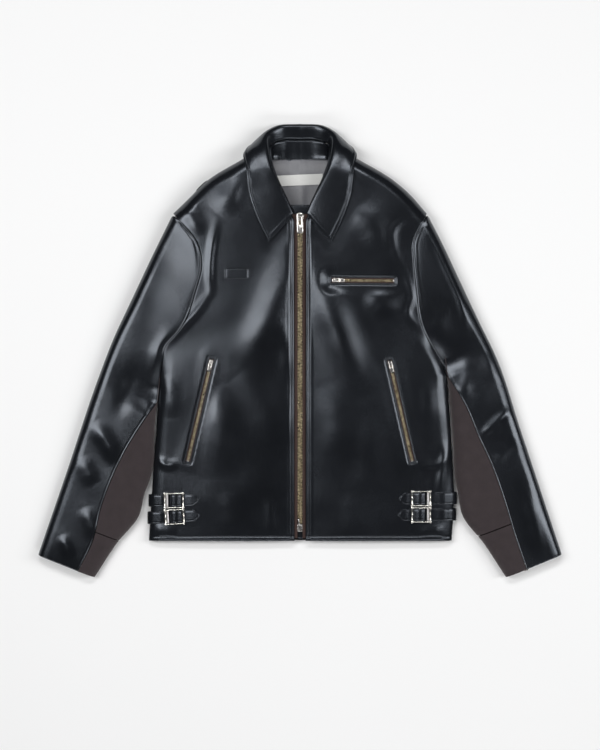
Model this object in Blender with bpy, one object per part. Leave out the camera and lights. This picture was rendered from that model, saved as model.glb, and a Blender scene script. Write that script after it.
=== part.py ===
"""Zip-front jacket with buckled side straps, lying flat on its back with the front up.

The X axis runs across the body towards the wearer's left, Y up the body to the collar, and Z up.
Outlines and sizes are in millimetres. MM turns them into metres where a mesh is made.
"""

import bmesh
import bpy
import numpy as np
from mathutils import Matrix, Vector

MM = 0.001

# Body, seen from above. Each outline lists (distance from the centre line, height up the body).
HEM_Y = -342
NECK_Y = 350
SHOULDER = {
    "left": [(229, 249), (196, 286), (169, 309), (100, NECK_Y)],
    "right": [(229, 249), (201, 276), (167, 309), (99, NECK_Y)],
}
ARMHOLE = {
    "left": [(266, -43), (254, -15), (238, 10), (223, 36), (209, 108), (204, 161), (203, 193), (229, 249)],
    "right": [(257, -90), (247, -15), (241, 10), (218, 36), (187, 108), (176, 161), (183, 193), (229, 249)],
}
SIDE_EDGE = {
    "left": [(275, HEM_Y), (279, -276), (274, -159), (266, -43)],
    "right": [(274, HEM_Y), (272, -309), (267, -232), (257, -90)],
}
FRONT_NECKLINE = [(9.5, 236), (15, 246), (35, 285), (54, 325), (62, NECK_Y)]

# Thickness of the body as it lies, from the floor to the top of the front.
HEM_HEIGHT = 21
CHEST_HEIGHT = 38
DOME = 4
DOME_HALF_WIDTH = 260
EDGE_SHARE = 0.46
SIDE_ROLL = 22
SHOULDER_ROLL = 24
LEATHER = 2.6
SEAM_GAP = 1.4

# Sleeves: the outer fold, the seam between leather and fabric, and the inner fold of the fabric.
OUTER_FOLD = {
    "left": [(229, 249), (254, 201), (289, 127), (320, 61), (356, -14), (398, -140), (473, -366)],
    "right": [(229, 249), (266, 174), (302, 98), (339, 18), (365, -50), (423, -222), (473, -367)],
}
FABRIC_SEAM = {
    "left": [(266, -44), (296, -93), (321, -151), (346, -206), (366, -262), (386, -328), (407, -389)],
    "right": [(257, -91), (280, -123), (315, -179), (340, -231), (358, -282), (370, -333), (398, -391)],
}
INNER_FOLD = {
    "left": [(267, -44), (276, -159), (281, -235), (285.5, -258), (292, -292), (333, -348), (372, -407.5)],
    "right": [(258, -91), (262, -130), (269, -225), (281, -258), (289.5, -293), (332, -348), (371, -407.5)],
}
UNDERARM_POINT = 4
SLEEVE_HEIGHT = 36
CUFF_HEIGHT = 27
SLEEVE_ROLL = 20
FABRIC = 2.0
FABRIC_ROWS = np.linspace(0.08, 1, 9)
CUFF_SEAM = 6

# Collar, front end to centre back: inner seam, roll and outer edge as (across, up, height).
COLLAR_SEAM = [(15, 247, 43.5), (31, 276, 46), (41, 301, 46), (49, 330, 44), (52, 358, 34),
               (48, 377, 20), (30, 384, 12), (0, 385, 10)]
COLLAR_ROLL = [(14, 244, 46), (27, 273, 50), (41, 300, 53), (55, 330, 53), (61, 362, 46),
               (60, 391, 31), (40, 404, 19), (0, 407, 15)]
COLLAR_MIDDLE = [(32, 222, 47), (51, 256, 50), (67, 290, 51), (78, 328, 50.5), (83, 362, 41),
                 (76, 384, 17), (46, 403, 8), (0, 407, 6)]
COLLAR_EDGE = [(56, 197, 43), (76, 238, 44.5), (90, 278, 45.5), (97, 330, 47), (102, 354, 35),
               (88, 370, 7.5), (52, 378, 2.6), (0, 378, 2.4)]
NECKLINE = [(12, 251, 39), (29, 287, 40), (41, 312, 39), (49, 335, 35), (54, 350, 24),
            (50, 355, 12), (30, 356, 6), (0, 356, 5)]
COLLAR_LEATHER = 2.2

# Zips. Heights are from the outer face of the leather, outwards.
MAIN_ZIP = dict(
    slider_length=14, slider_half=6.5, plate=1.4, neck_half=0.6, lip=1.5, top=-0.4, bottom=-7.2,
    tooth_in=1.0, tooth_out=4.3, tooth_low=-5.2, tooth_high=-2.4,
    tape_in=5.3, tape_out=14, tape_low=-4.2, tape_high=-3.4,
    bail_half=1.5, window=2.6, bail=0.9, pull_length=31, pull_half=5.4, pull_bar=1.6, pull_slot=15,
)
SMALL_ZIP = dict(
    slider_length=9, slider_half=3.7, plate=1.0, neck_half=0.45, lip=0.8, top=0.8, bottom=-4.2,
    tooth_in=0.8, tooth_out=2.3, tooth_low=-2.6, tooth_high=-0.8,
    tape_in=2.6, tape_out=7.2, tape_low=-2.0, tape_high=-1.4,
    bail_half=1.0, window=1.9, bail=0.6, pull_length=18, pull_half=3.3, pull_bar=1.1, pull_slot=7,
)
MAIN_ZIP_ENDS = ((0, -311), (0, 249))
HAND_ZIP_ENDS = {"left": ((202, -197), (161, -17)), "right": ((202, -197), (159, -15))}
CHEST_ZIP_ENDS = ((168, 127), (58, 128))
CUFF_ZIP_ENDS = {"left": ((366, -290), (406, -385)), "right": ((357, -291), (397, -387))}
CUFF_ZIP_Z = 3.5
WELT_HALF = 7.6
WELT_LIP = 4.3
POCKET_SLOT_HALF = 8.2

# Straps and buckles.
STRAP_WIDTH = 22
STRAP = 2.4
BUCKLE_WIDTH = 36
BUCKLE_HEIGHT = 28.4
STRAPS = {
    "left_upper": dict(side="left", y=-264.5, tilt=0, tip=178, buckle=218),
    "left_lower": dict(side="left", y=-294, tilt=0, tip=176, buckle=218),
    "right_upper": dict(side="right", y=-268, tilt=0.02, tip=182, buckle=227),
    "right_lower": dict(side="right", y=-297.5, tilt=0.06, tip=180, buckle=226),
}

SIGN = {"left": 1, "right": -1}


def make_material(name, colour, roughness, metallic=0.0):
    material = bpy.data.materials.new(name)
    material.use_nodes = True
    shader = material.node_tree.nodes["Principled BSDF"]
    shader.inputs["Base Color"].default_value = (*colour, 1)
    shader.inputs["Roughness"].default_value = roughness
    shader.inputs["Metallic"].default_value = metallic
    return material


def make_materials():
    return {
        "leather": make_material("leather", (0.011, 0.012, 0.014), 0.42),
        "fabric": make_material("fabric", (0.05, 0.04, 0.042), 0.85),
        "lining": make_material("lining", (0.09, 0.09, 0.1), 0.35),
        "zip_tape": make_material("zip_tape", (0.045, 0.024, 0.02), 0.8),
        "zip_teeth": make_material("zip_teeth", (0.33, 0.28, 0.17), 0.35, 1.0),
        "silver": make_material("silver", (0.72, 0.7, 0.66), 0.22, 1.0),
        "label": make_material("label", (0.8, 0.8, 0.78), 0.7),
    }


def add_object(name, mesh, material, matrix=None):
    """Names the mesh and places it, with its origin where matrix puts it."""
    item = bpy.data.objects.new(name, mesh)
    bpy.context.collection.objects.link(item)
    mesh.materials.clear()
    mesh.materials.append(material)
    if matrix is not None:
        item.matrix_world = matrix
    return item


def mesh_of(name, points, faces):
    """A mesh from millimetre points, with its faces turned outwards."""
    mesh = bpy.data.meshes.new(name)
    mesh.from_pydata([Vector(p) * MM for p in np.asarray(points, float)], [], faces)
    form = bmesh.new()
    form.from_mesh(mesh)
    bmesh.ops.recalc_face_normals(form, faces=form.faces)
    form.to_mesh(mesh)
    form.free()
    return mesh


def shell_mesh(name, outer, inner):
    """A closed sheet between two matching grids of points, with its four rims filled."""
    rows, columns = outer.shape[:2]
    index = np.arange(rows * columns).reshape(rows, columns)
    under = index + rows * columns

    def quads(a):
        return np.stack([a[:-1, :-1], a[1:, :-1], a[1:, 1:], a[:-1, 1:]], -1).reshape(-1, 4)

    rim = np.concatenate([index[0], index[1:, -1], index[-1, -2::-1], index[-2:0:-1, 0]])
    low = np.concatenate([under[0], under[1:, -1], under[-1, -2::-1], under[-2:0:-1, 0]])
    wall = np.stack([rim, np.roll(rim, -1), np.roll(low, -1), low], -1)
    faces = np.concatenate([quads(index), quads(under)[:, ::-1], wall])
    points = np.concatenate([outer.reshape(-1, 3), inner.reshape(-1, 3)])
    return mesh_of(name, points, faces.tolist())


def grid_normals(grid):
    along = np.gradient(grid, axis=0)
    across = np.gradient(grid, axis=1)
    normal = np.cross(along, across)
    return normal / np.linalg.norm(normal, axis=-1, keepdims=True)


def wall_mesh(name, grid, thickness, towards):
    """A sheet as thick as given, on the side of the grid where the point towards lies."""
    normal = grid_normals(grid)
    facing = np.sign(np.sum(normal * (np.asarray(towards, float) - grid), axis=-1).mean())
    return shell_mesh(name, grid, grid + facing * thickness * normal)


def ring_mesh(name, outer, inner, low, high, axis=2):
    """A flat ring between two outlines with as many points each, extruded along one axis."""
    count = len(outer)
    points = []
    for height in (low, high):
        for outline in (outer, inner):
            for point in outline:
                corner = list(point)
                corner.insert(axis, height)
                points.append(corner)
    faces = []
    for i in range(count):
        j = (i + 1) % count
        base, lid = 0, 2 * count
        faces.append((base + i, base + j, base + count + j, base + count + i))
        faces.append((lid + i, lid + j, lid + count + j, lid + count + i))
        faces.append((base + i, base + j, lid + j, lid + i))
        faces.append((base + count + i, base + count + j, lid + count + j, lid + count + i))
    return mesh_of(name, points, faces)


def prism_mesh(name, outline, low, high, axis=2):
    """An outline extruded along one axis."""
    count = len(outline)
    points = []
    for height in (low, high):
        for point in outline:
            corner = list(point)
            corner.insert(axis, height)
            points.append(corner)
    faces = [tuple(range(count)), tuple(range(count, 2 * count))]
    faces += [(i, (i + 1) % count, count + (i + 1) % count, count + i) for i in range(count)]
    return mesh_of(name, points, faces)


def rectangle(left, bottom, right, top):
    return [(left, bottom), (right, bottom), (right, top), (left, top)]


def box_mesh(name, low, high):
    return prism_mesh(name, rectangle(low[0], low[1], high[0], high[1]), low[2], high[2])


def rod_mesh(name, start, end, radius, sides=10, bore=0):
    """A round bar along Y, or a tube when it has a bore."""
    turn = np.arange(sides) * 2 * np.pi / sides
    circle = np.stack([np.cos(turn), np.sin(turn)], -1)
    x, z = start[0], start[2]
    outer = circle * radius + (x, z)
    if bore:
        return ring_mesh(name, outer, circle * bore + (x, z), start[1], end[1], axis=1)
    return prism_mesh(name, outer, start[1], end[1], axis=1)


def joined(name, meshes, operation="UNION"):
    """The first mesh united with the others, or cut by them, as a mesh of its own."""
    helpers = [bpy.data.objects.new(f"{name}_{i}", mesh) for i, mesh in enumerate(meshes)]
    for helper in helpers:
        bpy.context.collection.objects.link(helper)
    for other in helpers[1:]:
        boolean = helpers[0].modifiers.new(other.name, "BOOLEAN")
        boolean.operation = operation
        boolean.object = other
    graph = bpy.context.evaluated_depsgraph_get()
    result = bpy.data.meshes.new_from_object(helpers[0].evaluated_get(graph))
    result.name = name
    for helper in helpers:
        bpy.data.objects.remove(helper)
    return result


def placed(mesh, matrix):
    copy = mesh.copy()
    copy.transform(matrix)
    return copy


def along(points, shares):
    """Points at shares of the length of a line through the given points."""
    line = np.asarray(points, float)
    steps = np.linalg.norm(np.diff(line, axis=0), axis=1)
    travelled = np.concatenate([[0], np.cumsum(steps)]) / steps.sum()
    return np.stack([np.interp(shares, travelled, line[:, k]) for k in range(line.shape[1])], -1)


def roll(distance, reach):
    """Quarter ellipse: 0 on a folded edge, 1 at reach and beyond."""
    u = np.clip(distance / reach, 0, 1)
    return np.sqrt(np.maximum(0, 1 - (1 - u) ** 2))


def edge_at(outlines, y):
    """How far an edge made of outlines, given from low to high, is from the centre line at y."""
    line = np.array(sum(outlines, []), float)
    return np.interp(y, line[:, 1], line[:, 0])


def body_edge(side, y):
    return edge_at([SIDE_EDGE[side], ARMHOLE[side][1:], SHOULDER[side][1:]], y)


def distance_to_line(x, y, line):
    """Shortest way from each point to a broken line."""
    nearest = np.full(np.shape(x), np.inf)
    for (x0, y0), (x1, y1) in zip(line[:-1], line[1:]):
        share = ((x - x0) * (x1 - x0) + (y - y0) * (y1 - y0)) / ((x1 - x0) ** 2 + (y1 - y0) ** 2)
        share = np.clip(share, 0, 1)
        nearest = np.minimum(nearest, np.hypot(x - x0 - share * (x1 - x0), y - y0 - share * (y1 - y0)))
    return nearest


def rise(y):
    return np.interp(y, [HEM_Y, MAIN_ZIP_ENDS[1][1]], [HEM_HEIGHT, CHEST_HEIGHT])


def fullness(side, x, y):
    """0 on the side and shoulder folds of the body, 1 away from them. The armhole isn't a fold."""
    underarm = ARMHOLE[side][0][1]
    tuck = np.clip((underarm + 90 - y) / 90, 0, 1)
    tuck = tuck * tuck * (3 - 2 * tuck)
    side_fall = roll(body_edge(side, y) - x, SIDE_ROLL)
    return roll(distance_to_line(x, y, SHOULDER[side]), SHOULDER_ROLL) * (1 - tuck * (1 - side_fall))


def front_z(side, x, y):
    middle = EDGE_SHARE * rise(y)
    full = rise(y) + DOME * np.sin(np.pi * np.clip(x, 0, DOME_HALF_WIDTH) / DOME_HALF_WIDTH)
    return middle + 0.5 + (full - middle - 0.5) * fullness(side, x, y)


def back_z(side, x, y):
    return (EDGE_SHARE * rise(y) - 0.5) * (1 - fullness(side, x, y))


def mirrored(grid, side):
    return grid * (SIGN[side], 1, 1)


BODY_ROWS = np.array([HEM_Y, -310, -270, -220, -160, -90, -43, -15, 10, 36, 72, 108, 161, 193, 225, 249,
                      276, 309, 330, NECK_Y], float)
EDGE_STEPS = np.array([0, 1.5, 5, 11, SIDE_ROLL], float)


def panel_columns(width, more):
    """Distances in from the folded edge: close together on the fold, even beyond it."""
    steps = np.minimum(EDGE_STEPS, EDGE_STEPS * width / 60)
    return np.concatenate([steps, np.linspace(steps[-1], width, more + 1)[1:]])


def front_panel(side, slots):
    grid = []
    for y in BODY_ROWS:
        inner = edge_at([FRONT_NECKLINE], y)
        outer = body_edge(side, y) - SEAM_GAP / 2
        x = outer - panel_columns(outer - inner, 4)
        grid.append(np.stack([x, np.full_like(x, y), front_z(side, x, y)], -1))
    grid = mirrored(np.array(grid), side)
    mesh = wall_mesh(f"front_{side}", grid, LEATHER, (0, 0, -10000))
    return joined(f"front_panel_{side}", [mesh, *slots], "DIFFERENCE")


def front_patch(name, side, xs, ys, high, low):
    """A flat piece that follows the front of the body, between two heights above its face."""
    x, y = np.meshgrid(np.asarray(xs, float), np.asarray(ys, float))
    z = front_z(side, x, y)
    outer = mirrored(np.stack([x, y, z + high], -1), side)
    inner = mirrored(np.stack([x, y, z + low], -1), side)
    return shell_mesh(name, outer, inner)


def back_panel():
    grid = []
    for y in BODY_ROWS:
        halves = []
        for side in ("right", "left"):
            outer = body_edge(side, y) - SEAM_GAP / 2
            x = outer - panel_columns(outer, 3)
            half = mirrored(np.stack([x, np.full_like(x, y), back_z(side, x, y)], -1), side)
            halves.append(half if side == "right" else half[-2::-1])
        grid.append(np.concatenate(halves))
    return wall_mesh("back_panel", np.array(grid), LEATHER, (0, 0, 10000))


def lining_edge(side, y):
    return body_edge(side, y) - np.interp(y, [225, 250], [30, 52])


def back_lining():
    """A thin sheet just over the back panel, inside its folded edges."""
    ys = np.array([-325, -220, -90, 10, 111, 199, 235, 276, 309, 348], float)
    low, high = LEATHER + 1.5, LEATHER + 2.5
    xs = [np.linspace(-lining_edge("right", y), lining_edge("left", y), 6) for y in ys]
    flat = np.stack([np.array(xs), np.repeat(ys[:, None], 6, 1)], -1)
    levels = [np.concatenate([flat, np.full((len(ys), 6, 1), z)], -1) for z in (high, low)]
    return shell_mesh("back_lining", *levels)


def front_lining(side):
    ys = np.array([-325, -220, -90, 10, 111, 199, 225], float)
    grid = []
    for y in ys:
        x = np.linspace(20, lining_edge(side, y), 5)
        grid.append(np.stack([x, np.full_like(x, y), front_z(side, x, y) - 7.2], -1))
    grid = mirrored(np.array(grid), side)
    return shell_mesh(f"front_lining_{side}", grid, grid - (0, 0, 1.0))


def sleeve_lines(side):
    """Matching points down the sleeve: outer fold, leather seam, inner end, and where the armhole ends."""
    seam = np.asarray(ARMHOLE[side][::-1], float)
    steps = np.concatenate([[0], np.cumsum(np.linalg.norm(np.diff(seam, axis=0), axis=1))])
    armhole = np.clip(steps / steps[-1], 0.05, 0.98)
    lower = FABRIC_ROWS
    outer = OUTER_FOLD[side]
    top = along(seam, armhole)
    above = along(outer[: UNDERARM_POINT + 1], armhole)
    folds = np.concatenate([above, along(outer[UNDERARM_POINT:], lower)])
    seams = np.concatenate([top, along(FABRIC_SEAM[side], lower)])
    inner = np.concatenate([top, along(INNER_FOLD[side], lower)])
    return folds, seams, inner, len(armhole), lower


def sleeve_heights(side, fold, inner, share, row, armhole_rows, rows):
    """(top, bottom) of the sleeve at shares of the way from its outer fold to its inner end."""
    full = np.interp(row, [0, rows - 1], [SLEEVE_HEIGHT, CUFF_HEIGHT])
    middle = full / 2
    width = np.linalg.norm(inner - fold)
    swell = roll(share * width, min(SLEEVE_ROLL, 0.8 * width))
    if row < armhole_rows:
        blend = share**2
        end_top = max(front_z(side, inner[0], inner[1]), EDGE_SHARE * rise(inner[1]) + 3.6)
        end_bottom = min(back_z(side, inner[0], inner[1]), EDGE_SHARE * rise(inner[1]) - 3.6)
        top = full + (end_top - full) * blend
        bottom = end_bottom * blend
        middle = middle + ((end_top + end_bottom) / 2 - middle) * blend
    else:
        top = full
        bottom = 0
        swell = swell * roll((1 - share) * width, SLEEVE_ROLL)
    return middle + (top - middle) * swell, middle - (middle - bottom) * swell


def sleeve_section(side, lines, row, shares):
    """A section round the outer fold: under side, fold, upper side."""
    folds, _, inner, armhole_rows, _ = lines
    fold, end = folds[row], inner[row]
    tops, bottoms = sleeve_heights(side, fold, end, shares, row, armhole_rows, len(folds))
    flat = fold + (end - fold) * shares[:, None]
    upper = np.concatenate([flat, tops[:, None]], -1)
    lower = np.concatenate([flat, bottoms[:, None]], -1)
    return upper, lower


def sleeve(side, lines, slot):
    """The leather of the sleeve, wrapped round its outer fold from seam to seam."""
    folds, seams, inner, _, _ = lines
    grid = []
    for row in range(len(folds)):
        width = np.linalg.norm(inner[row] - folds[row])
        reach = np.linalg.norm(seams[row] - folds[row]) - SEAM_GAP / 2
        steps = np.minimum(np.array([0, 1.5, 5, 11, 20]), np.array([0, 1.5, 5, 11, 20]) * reach / 50)
        steps = np.concatenate([steps, np.linspace(steps[-1], reach, 4)[1:]])
        upper, lower = sleeve_section(side, lines, row, steps / width)
        grid.append(np.concatenate([lower[::-1], upper[1:]]))
    grid = np.array(grid)
    normal = grid_normals(grid)
    inwards = np.sign(np.sum(normal[:, grid.shape[1] // 2, :2] * (inner - folds), axis=-1).mean())
    inside = grid + inwards * LEATHER * normal
    mesh = shell_mesh(f"sleeve_{side}", mirrored(grid, side), mirrored(inside, side))
    return joined(f"sleeve_{side}", [mesh, slot], "DIFFERENCE")


def fabric_piece(name, side, lines, rows, slot):
    """Fabric of the sleeve at the given rows, wrapped round its inner fold from seam to seam."""
    folds, seams, inner, armhole_rows, _ = lines
    grid = []
    for place in rows + armhole_rows:
        row = int(min(place, len(folds) - 2))
        part = place - row
        fold, seam, end = (a[row] * (1 - part) + a[row + 1] * part for a in (folds, seams, inner))
        width = np.linalg.norm(end - fold)
        reach = np.linalg.norm(end - seam) - SEAM_GAP / 2
        steps = np.array([0, 0.05, 0.2, 0.5, 1.0]) * reach
        shares = 1 - steps / width
        top, bottom = sleeve_heights(side, fold, end, shares, place, armhole_rows, len(folds))
        flat = fold + (end - fold) * shares[:, None]
        upper = np.concatenate([flat, top[:, None]], -1)
        under = np.concatenate([flat, bottom[:, None]], -1)
        grid.append(np.concatenate([under[::-1], upper[1:]]))
    grid = np.array(grid)
    normal = grid_normals(grid)
    to_fold = np.array([1.0, 0.3, 0])
    inwards = np.sign((normal[:, 4] @ to_fold).mean())
    inside = grid + inwards * FABRIC * normal
    mesh = shell_mesh(name, mirrored(grid, side), mirrored(inside, side))
    return joined(name, [mesh, slot], "DIFFERENCE") if slot else mesh


def round_collar(line):
    """The line carried on past the centre back to the wearer's right."""
    half = np.asarray(line, float)
    other = half[-2::-1] * (-1, 1, 1)
    return np.concatenate([half, other])


def collar_piece(name, lines, thickness):
    grid = np.stack([round_collar(line) for line in lines], 1)
    normal = grid_normals(grid)
    return shell_mesh(name, grid + normal * thickness / 2, grid - normal * thickness / 2)


# Play and small shapes of the zips, in the zip's own frame: X across, Y along, Z outwards.
SLIDER_PLAY = 0.4
PULL_CHAMFER, PULL_PLAY, PULL_EYE_CORNER = 0.35, 0.7, 0.5
TEETH_START = {"left": 1, "right": 9}
TAPE_TAIL = 26
RETAINER_BOX = (-5, -14, -5.9), (4.6, -1, -1.9)
RETAINER_SOCKET = (-3.6, -12, -5.0), (-0.8, 1, -2.9)
INSERTION_PIN = (-3.3, -11.5, -4.7), (-1.1, 8.4, -3.2)
POCKET_SLOT_END, POCKET_SLOT_DEEP = 7, 15
WELT_END = 6.4
WELT_HEIGHTS = (-1.0, 0.9)
CUFF_SLOT_HALF, CUFF_SLOT_REACH, CUFF_SLOT_PAST_WRIST = 4.6, 14, 40
CUFF_SLOT_HEIGHTS = (-1.2, 6)

# Pieces sewn to the fronts and the back. Lifts are heights above the leather's outer face.
BAG_LIFTS = (-5.2, -6.4)
HAND_BAG_X, HAND_BAG_Y = (132, 226), (-245, -25)
CHEST_BAG_X, CHEST_BAG_Y = (48, 178), (30, 140)
PEN_WELT_X, PEN_WELT_Y, PEN_WELT_LIFTS = (91, 136), (130, 141, 152), (1.8, 0.4)
LABEL_BOX = (-42, 303, LEATHER + 2.9), (41, 320, LEATHER + 3.6)

# A strap's path: over the buckle's bar, then round the side of the body and under it.
STRAP_LIFT = 1.7
STRAP_OVER_BAR = [(-13.5, STRAP_LIFT), (-9, 3.9), (-4, 5.4), (2, 5.4), (6, 3.9), (9.5, STRAP_LIFT)]
STRAP_ROUND_SIDE = [(-4, 10.5), (2.8, 4), (3.4, -3)]
STRAP_UNDER = [(0.8, 3.2), (-3, 1.5)]
BUCKLE_LIFT = 0.3


def zip_matrix(start, end, outward):
    """Frame of a zip: Y from its bottom stop to its top, Z out of the garment, in metres."""
    up = (Vector(end) - Vector(start)).normalized()
    across = up.cross(Vector((0, 0, outward))).normalized()
    out = across.cross(up)
    turn = Matrix((across, up, out)).transposed().to_4x4()
    return Matrix.Translation(Vector(start) * MM) @ turn


def zip_length(start, end):
    return (Vector(end) - Vector(start)).length


def on_front(side, point):
    x, y = point
    return (SIGN[side] * x, y, float(front_z(side, np.array(float(x)), np.array(float(y)))))


def slider_mesh(name, z):
    """Two plates joined by a neck, with lips that hold the teeth, and a bail on the outer plate."""
    sizes = ("slider_half", "neck_half", "top", "bottom", "plate", "lip")
    s, n, top, bottom, plate, lip = (z[size] for size in sizes)
    under, over = top - plate, bottom + plate
    high, low = z["tape_high"] + SLIDER_PLAY, z["tape_low"] - SLIDER_PLAY
    half = [(n, under), (s - lip, under), (s - lip, high), (s, high), (s, top)]
    lower = [(s, bottom), (s, low), (s - lip, low), (s - lip, over), (n, over)]
    right = lower + half
    outline = right + [(-x, y) for x, y in right[::-1]]
    length = z["slider_length"]
    body = prism_mesh(name, outline, -length / 2, length / 2, axis=1)
    w, b = z["window"], z["bail"]
    arch = ring_mesh(
        f"{name}_bail",
        rectangle(-w / 2 - b, top - plate / 2, w / 2 + b, top + w + b),
        rectangle(-w / 2, top, w / 2, top + w),
        -z["bail_half"], z["bail_half"], axis=0,
    )
    return joined(name, [body, arch])


def pull_mesh(name, z):
    """A flat tab with a slot round the bail. Its cross bar is on the X axis, and it points down Y."""
    half, bar, length, slot = z["pull_half"], z["pull_bar"] / 2, z["pull_length"], z["pull_slot"]
    chamfer = PULL_CHAMFER * half
    tip = -length + bar
    inner_half = z["bail_half"] + PULL_PLAY
    corner = inner_half - PULL_EYE_CORNER
    outer = [(half, bar), (half, tip + chamfer), (half - chamfer, tip),
             (chamfer - half, tip), (-half, tip + chamfer), (-half, bar)]
    inner = [(inner_half, -bar), (inner_half, PULL_EYE_CORNER - slot), (corner, -slot),
             (-corner, -slot), (-inner_half, PULL_EYE_CORNER - slot), (-inner_half, -bar)]
    return ring_mesh(name, outer, inner, -bar, bar)


def add_slider(name, z, matrix, length, materials, pull_turn=0.0):
    """The slider closed at the top of its zip, and its pull on an axis through the bail."""
    centre = length - z["slider_length"] / 2
    at = matrix @ Matrix.Translation(Vector((0, centre, 0)) * MM)
    add_object(f"{name}_slider", slider_mesh(f"{name}_slider", z), materials["silver"], at)
    hinge = at @ Matrix.Translation(Vector((0, 0, z["top"] + z["window"] / 2)) * MM)
    hinge = hinge @ Matrix.Rotation(pull_turn, 4, "X")
    add_object(f"{name}_pull", pull_mesh(f"{name}_pull", z), materials["silver"], hinge)


def add_main_zip(materials):
    z = MAIN_ZIP
    bottom, top = (on_front("left", (x, y)) for x, y in MAIN_ZIP_ENDS)
    matrix = zip_matrix((0, bottom[1], rise(bottom[1])), (0, top[1], rise(top[1])), 1)
    length = zip_length(bottom, top)
    for side, sign in SIGN.items():
        low, high = sorted((sign * z["tooth_in"], sign * z["tooth_out"]))
        start = TEETH_START[side]
        teeth = box_mesh("teeth", (low, start, z["tooth_low"]), (high, length - 1, z["tooth_high"]))
        add_object(f"main_zip_teeth_{side}", teeth, materials["zip_teeth"], matrix)
        low, high = sorted((sign * z["tape_in"], sign * z["tape_out"]))
        tape = box_mesh("tape", (low, -TAPE_TAIL, z["tape_low"]), (high, length - 2, z["tape_high"]))
        add_object(f"main_zip_tape_{side}", tape, materials["zip_tape"], matrix)
    box = box_mesh("box", *RETAINER_BOX)
    socket = box_mesh("socket", *RETAINER_SOCKET)
    retainer = joined("retainer", [box, socket], "DIFFERENCE")
    add_object("main_zip_retainer_box", retainer, materials["silver"], matrix)
    pin = box_mesh("pin", *INSERTION_PIN)
    add_object("main_zip_insertion_pin", pin, materials["silver"], matrix)
    add_slider("main_zip", z, matrix, length, materials)


def pocket_slot(matrix, length):
    """Cutter for the opening that a pocket zip is sewn into."""
    half, end, deep = POCKET_SLOT_HALF, POCKET_SLOT_END, POCKET_SLOT_DEEP
    return placed(box_mesh("slot", (-half, -end, -deep), (half, length + end + 1, deep)), matrix)


def add_small_chain(name, length):
    z = SMALL_ZIP
    out, inside = z["tape_out"], z["tape_in"]
    tape = ring_mesh(
        f"{name}_tape",
        rectangle(-out, -4, out, length + 5),
        rectangle(-inside, 0, inside, length + 1),
        z["tape_low"], z["tape_high"],
    )
    a, b = z["tooth_in"], z["tooth_out"]
    outline = [(-b, 0.5), (b, 0.5), (b, length - 0.5), (a, length - 0.5), (a, 2), (-a, 2), (-a, length - 0.5),
               (-b, length - 0.5)]
    teeth = prism_mesh(f"{name}_teeth", outline, z["tooth_low"], z["tooth_high"])
    return tape, teeth


def add_pocket_zip(name, matrix, length, materials):
    tape, teeth = add_small_chain(name, length)
    add_object(f"{name}_tape", tape, materials["zip_tape"], matrix)
    add_object(f"{name}_teeth", teeth, materials["zip_teeth"], matrix)
    welt = ring_mesh(
        f"{name}_welt",
        rectangle(-WELT_HALF, -WELT_END, WELT_HALF, length + WELT_END + 1),
        rectangle(-WELT_LIP, -1, WELT_LIP, length + 2),
        *WELT_HEIGHTS,
    )
    add_object(f"{name}_welt", welt, materials["leather"], matrix)
    add_slider(name, SMALL_ZIP, matrix, length, materials)


def cuff_matrix(side):
    ends = [(SIGN[side] * x, y, CUFF_ZIP_Z) for x, y in CUFF_ZIP_ENDS[side]]
    return zip_matrix(*ends, -1), zip_length(*ends)


def cuff_slot(side, from_fabric):
    """Cutter for the gap on the under side of the cuff, open at the wrist.
    It runs past the seam, so that no strip of leather or fabric is left alone beside it."""
    matrix, length = cuff_matrix(side)
    toward = SIGN[side] if from_fabric else -SIGN[side]
    low, high = sorted((-CUFF_SLOT_HALF * toward, CUFF_SLOT_REACH * toward))
    start, end = (low, -3, CUFF_SLOT_HEIGHTS[0]), (high, length + CUFF_SLOT_PAST_WRIST, CUFF_SLOT_HEIGHTS[1])
    return placed(box_mesh("cuff_slot", start, end), matrix)


def add_cuff_zip(side, materials):
    """Cuff zip on the under side of the sleeve. Its pull hangs out past the wrist."""
    name = f"cuff_zip_{side}"
    z = SMALL_ZIP
    matrix, length = cuff_matrix(side)
    a, out = z["tooth_in"], z["tape_out"] - 0.4
    outline = [(-out, -4), (out, -4), (out, length), (a, length),
               (a, 2), (-a, 2), (-a, length), (-out, length)]
    chain = prism_mesh(f"{name}_chain", outline, z["tape_low"], z["tape_high"])
    add_object(f"{name}_chain", chain, materials["zip_tape"], matrix)
    add_slider(name, z, matrix, length, materials, np.pi)


def strap_mesh(name, spec):
    """A strap from its pointed tip through the buckle and round the side of the body."""
    side, centre, buckle = spec["side"], spec["y"], spec["buckle"]
    edge = float(body_edge(side, centre))
    middle = EDGE_SHARE * float(rise(centre))

    def surface(x):
        return float(front_z(side, np.array(float(x)), np.array(float(centre))))

    flat = [(spec["tip"], STRAP_LIFT), (spec["tip"] + 12, STRAP_LIFT)]
    flat += [(buckle + x, lift) for x, lift in STRAP_OVER_BAR]
    flat.append((edge - 16, STRAP_LIFT + 0.2))
    path = [(x, surface(x) + lift) for x, lift in flat]
    path += [(edge + x, middle + lift) for x, lift in STRAP_ROUND_SIDE]
    path += [(edge + x, height) for x, height in STRAP_UNDER]
    path = np.array(path)
    tangent = np.gradient(path, axis=0)
    normal = np.stack([-tangent[:, 1], tangent[:, 0]], -1)
    normal /= np.linalg.norm(normal, axis=1, keepdims=True)
    half = np.full(len(path), STRAP_WIDTH / 2)
    half[0] = 2
    levels = []
    for offset in (STRAP / 2, -STRAP / 2):
        shifted = path + normal * offset
        y = centre - spec["tilt"] * (shifted[:, 0] - buckle)
        rows = [np.stack([shifted[:, 0], y + sign * half, shifted[:, 1]], -1) for sign in (-1, 1)]
        levels.append(mirrored(np.stack(rows, 1), side))
    return shell_mesh(name, *levels)


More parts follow.
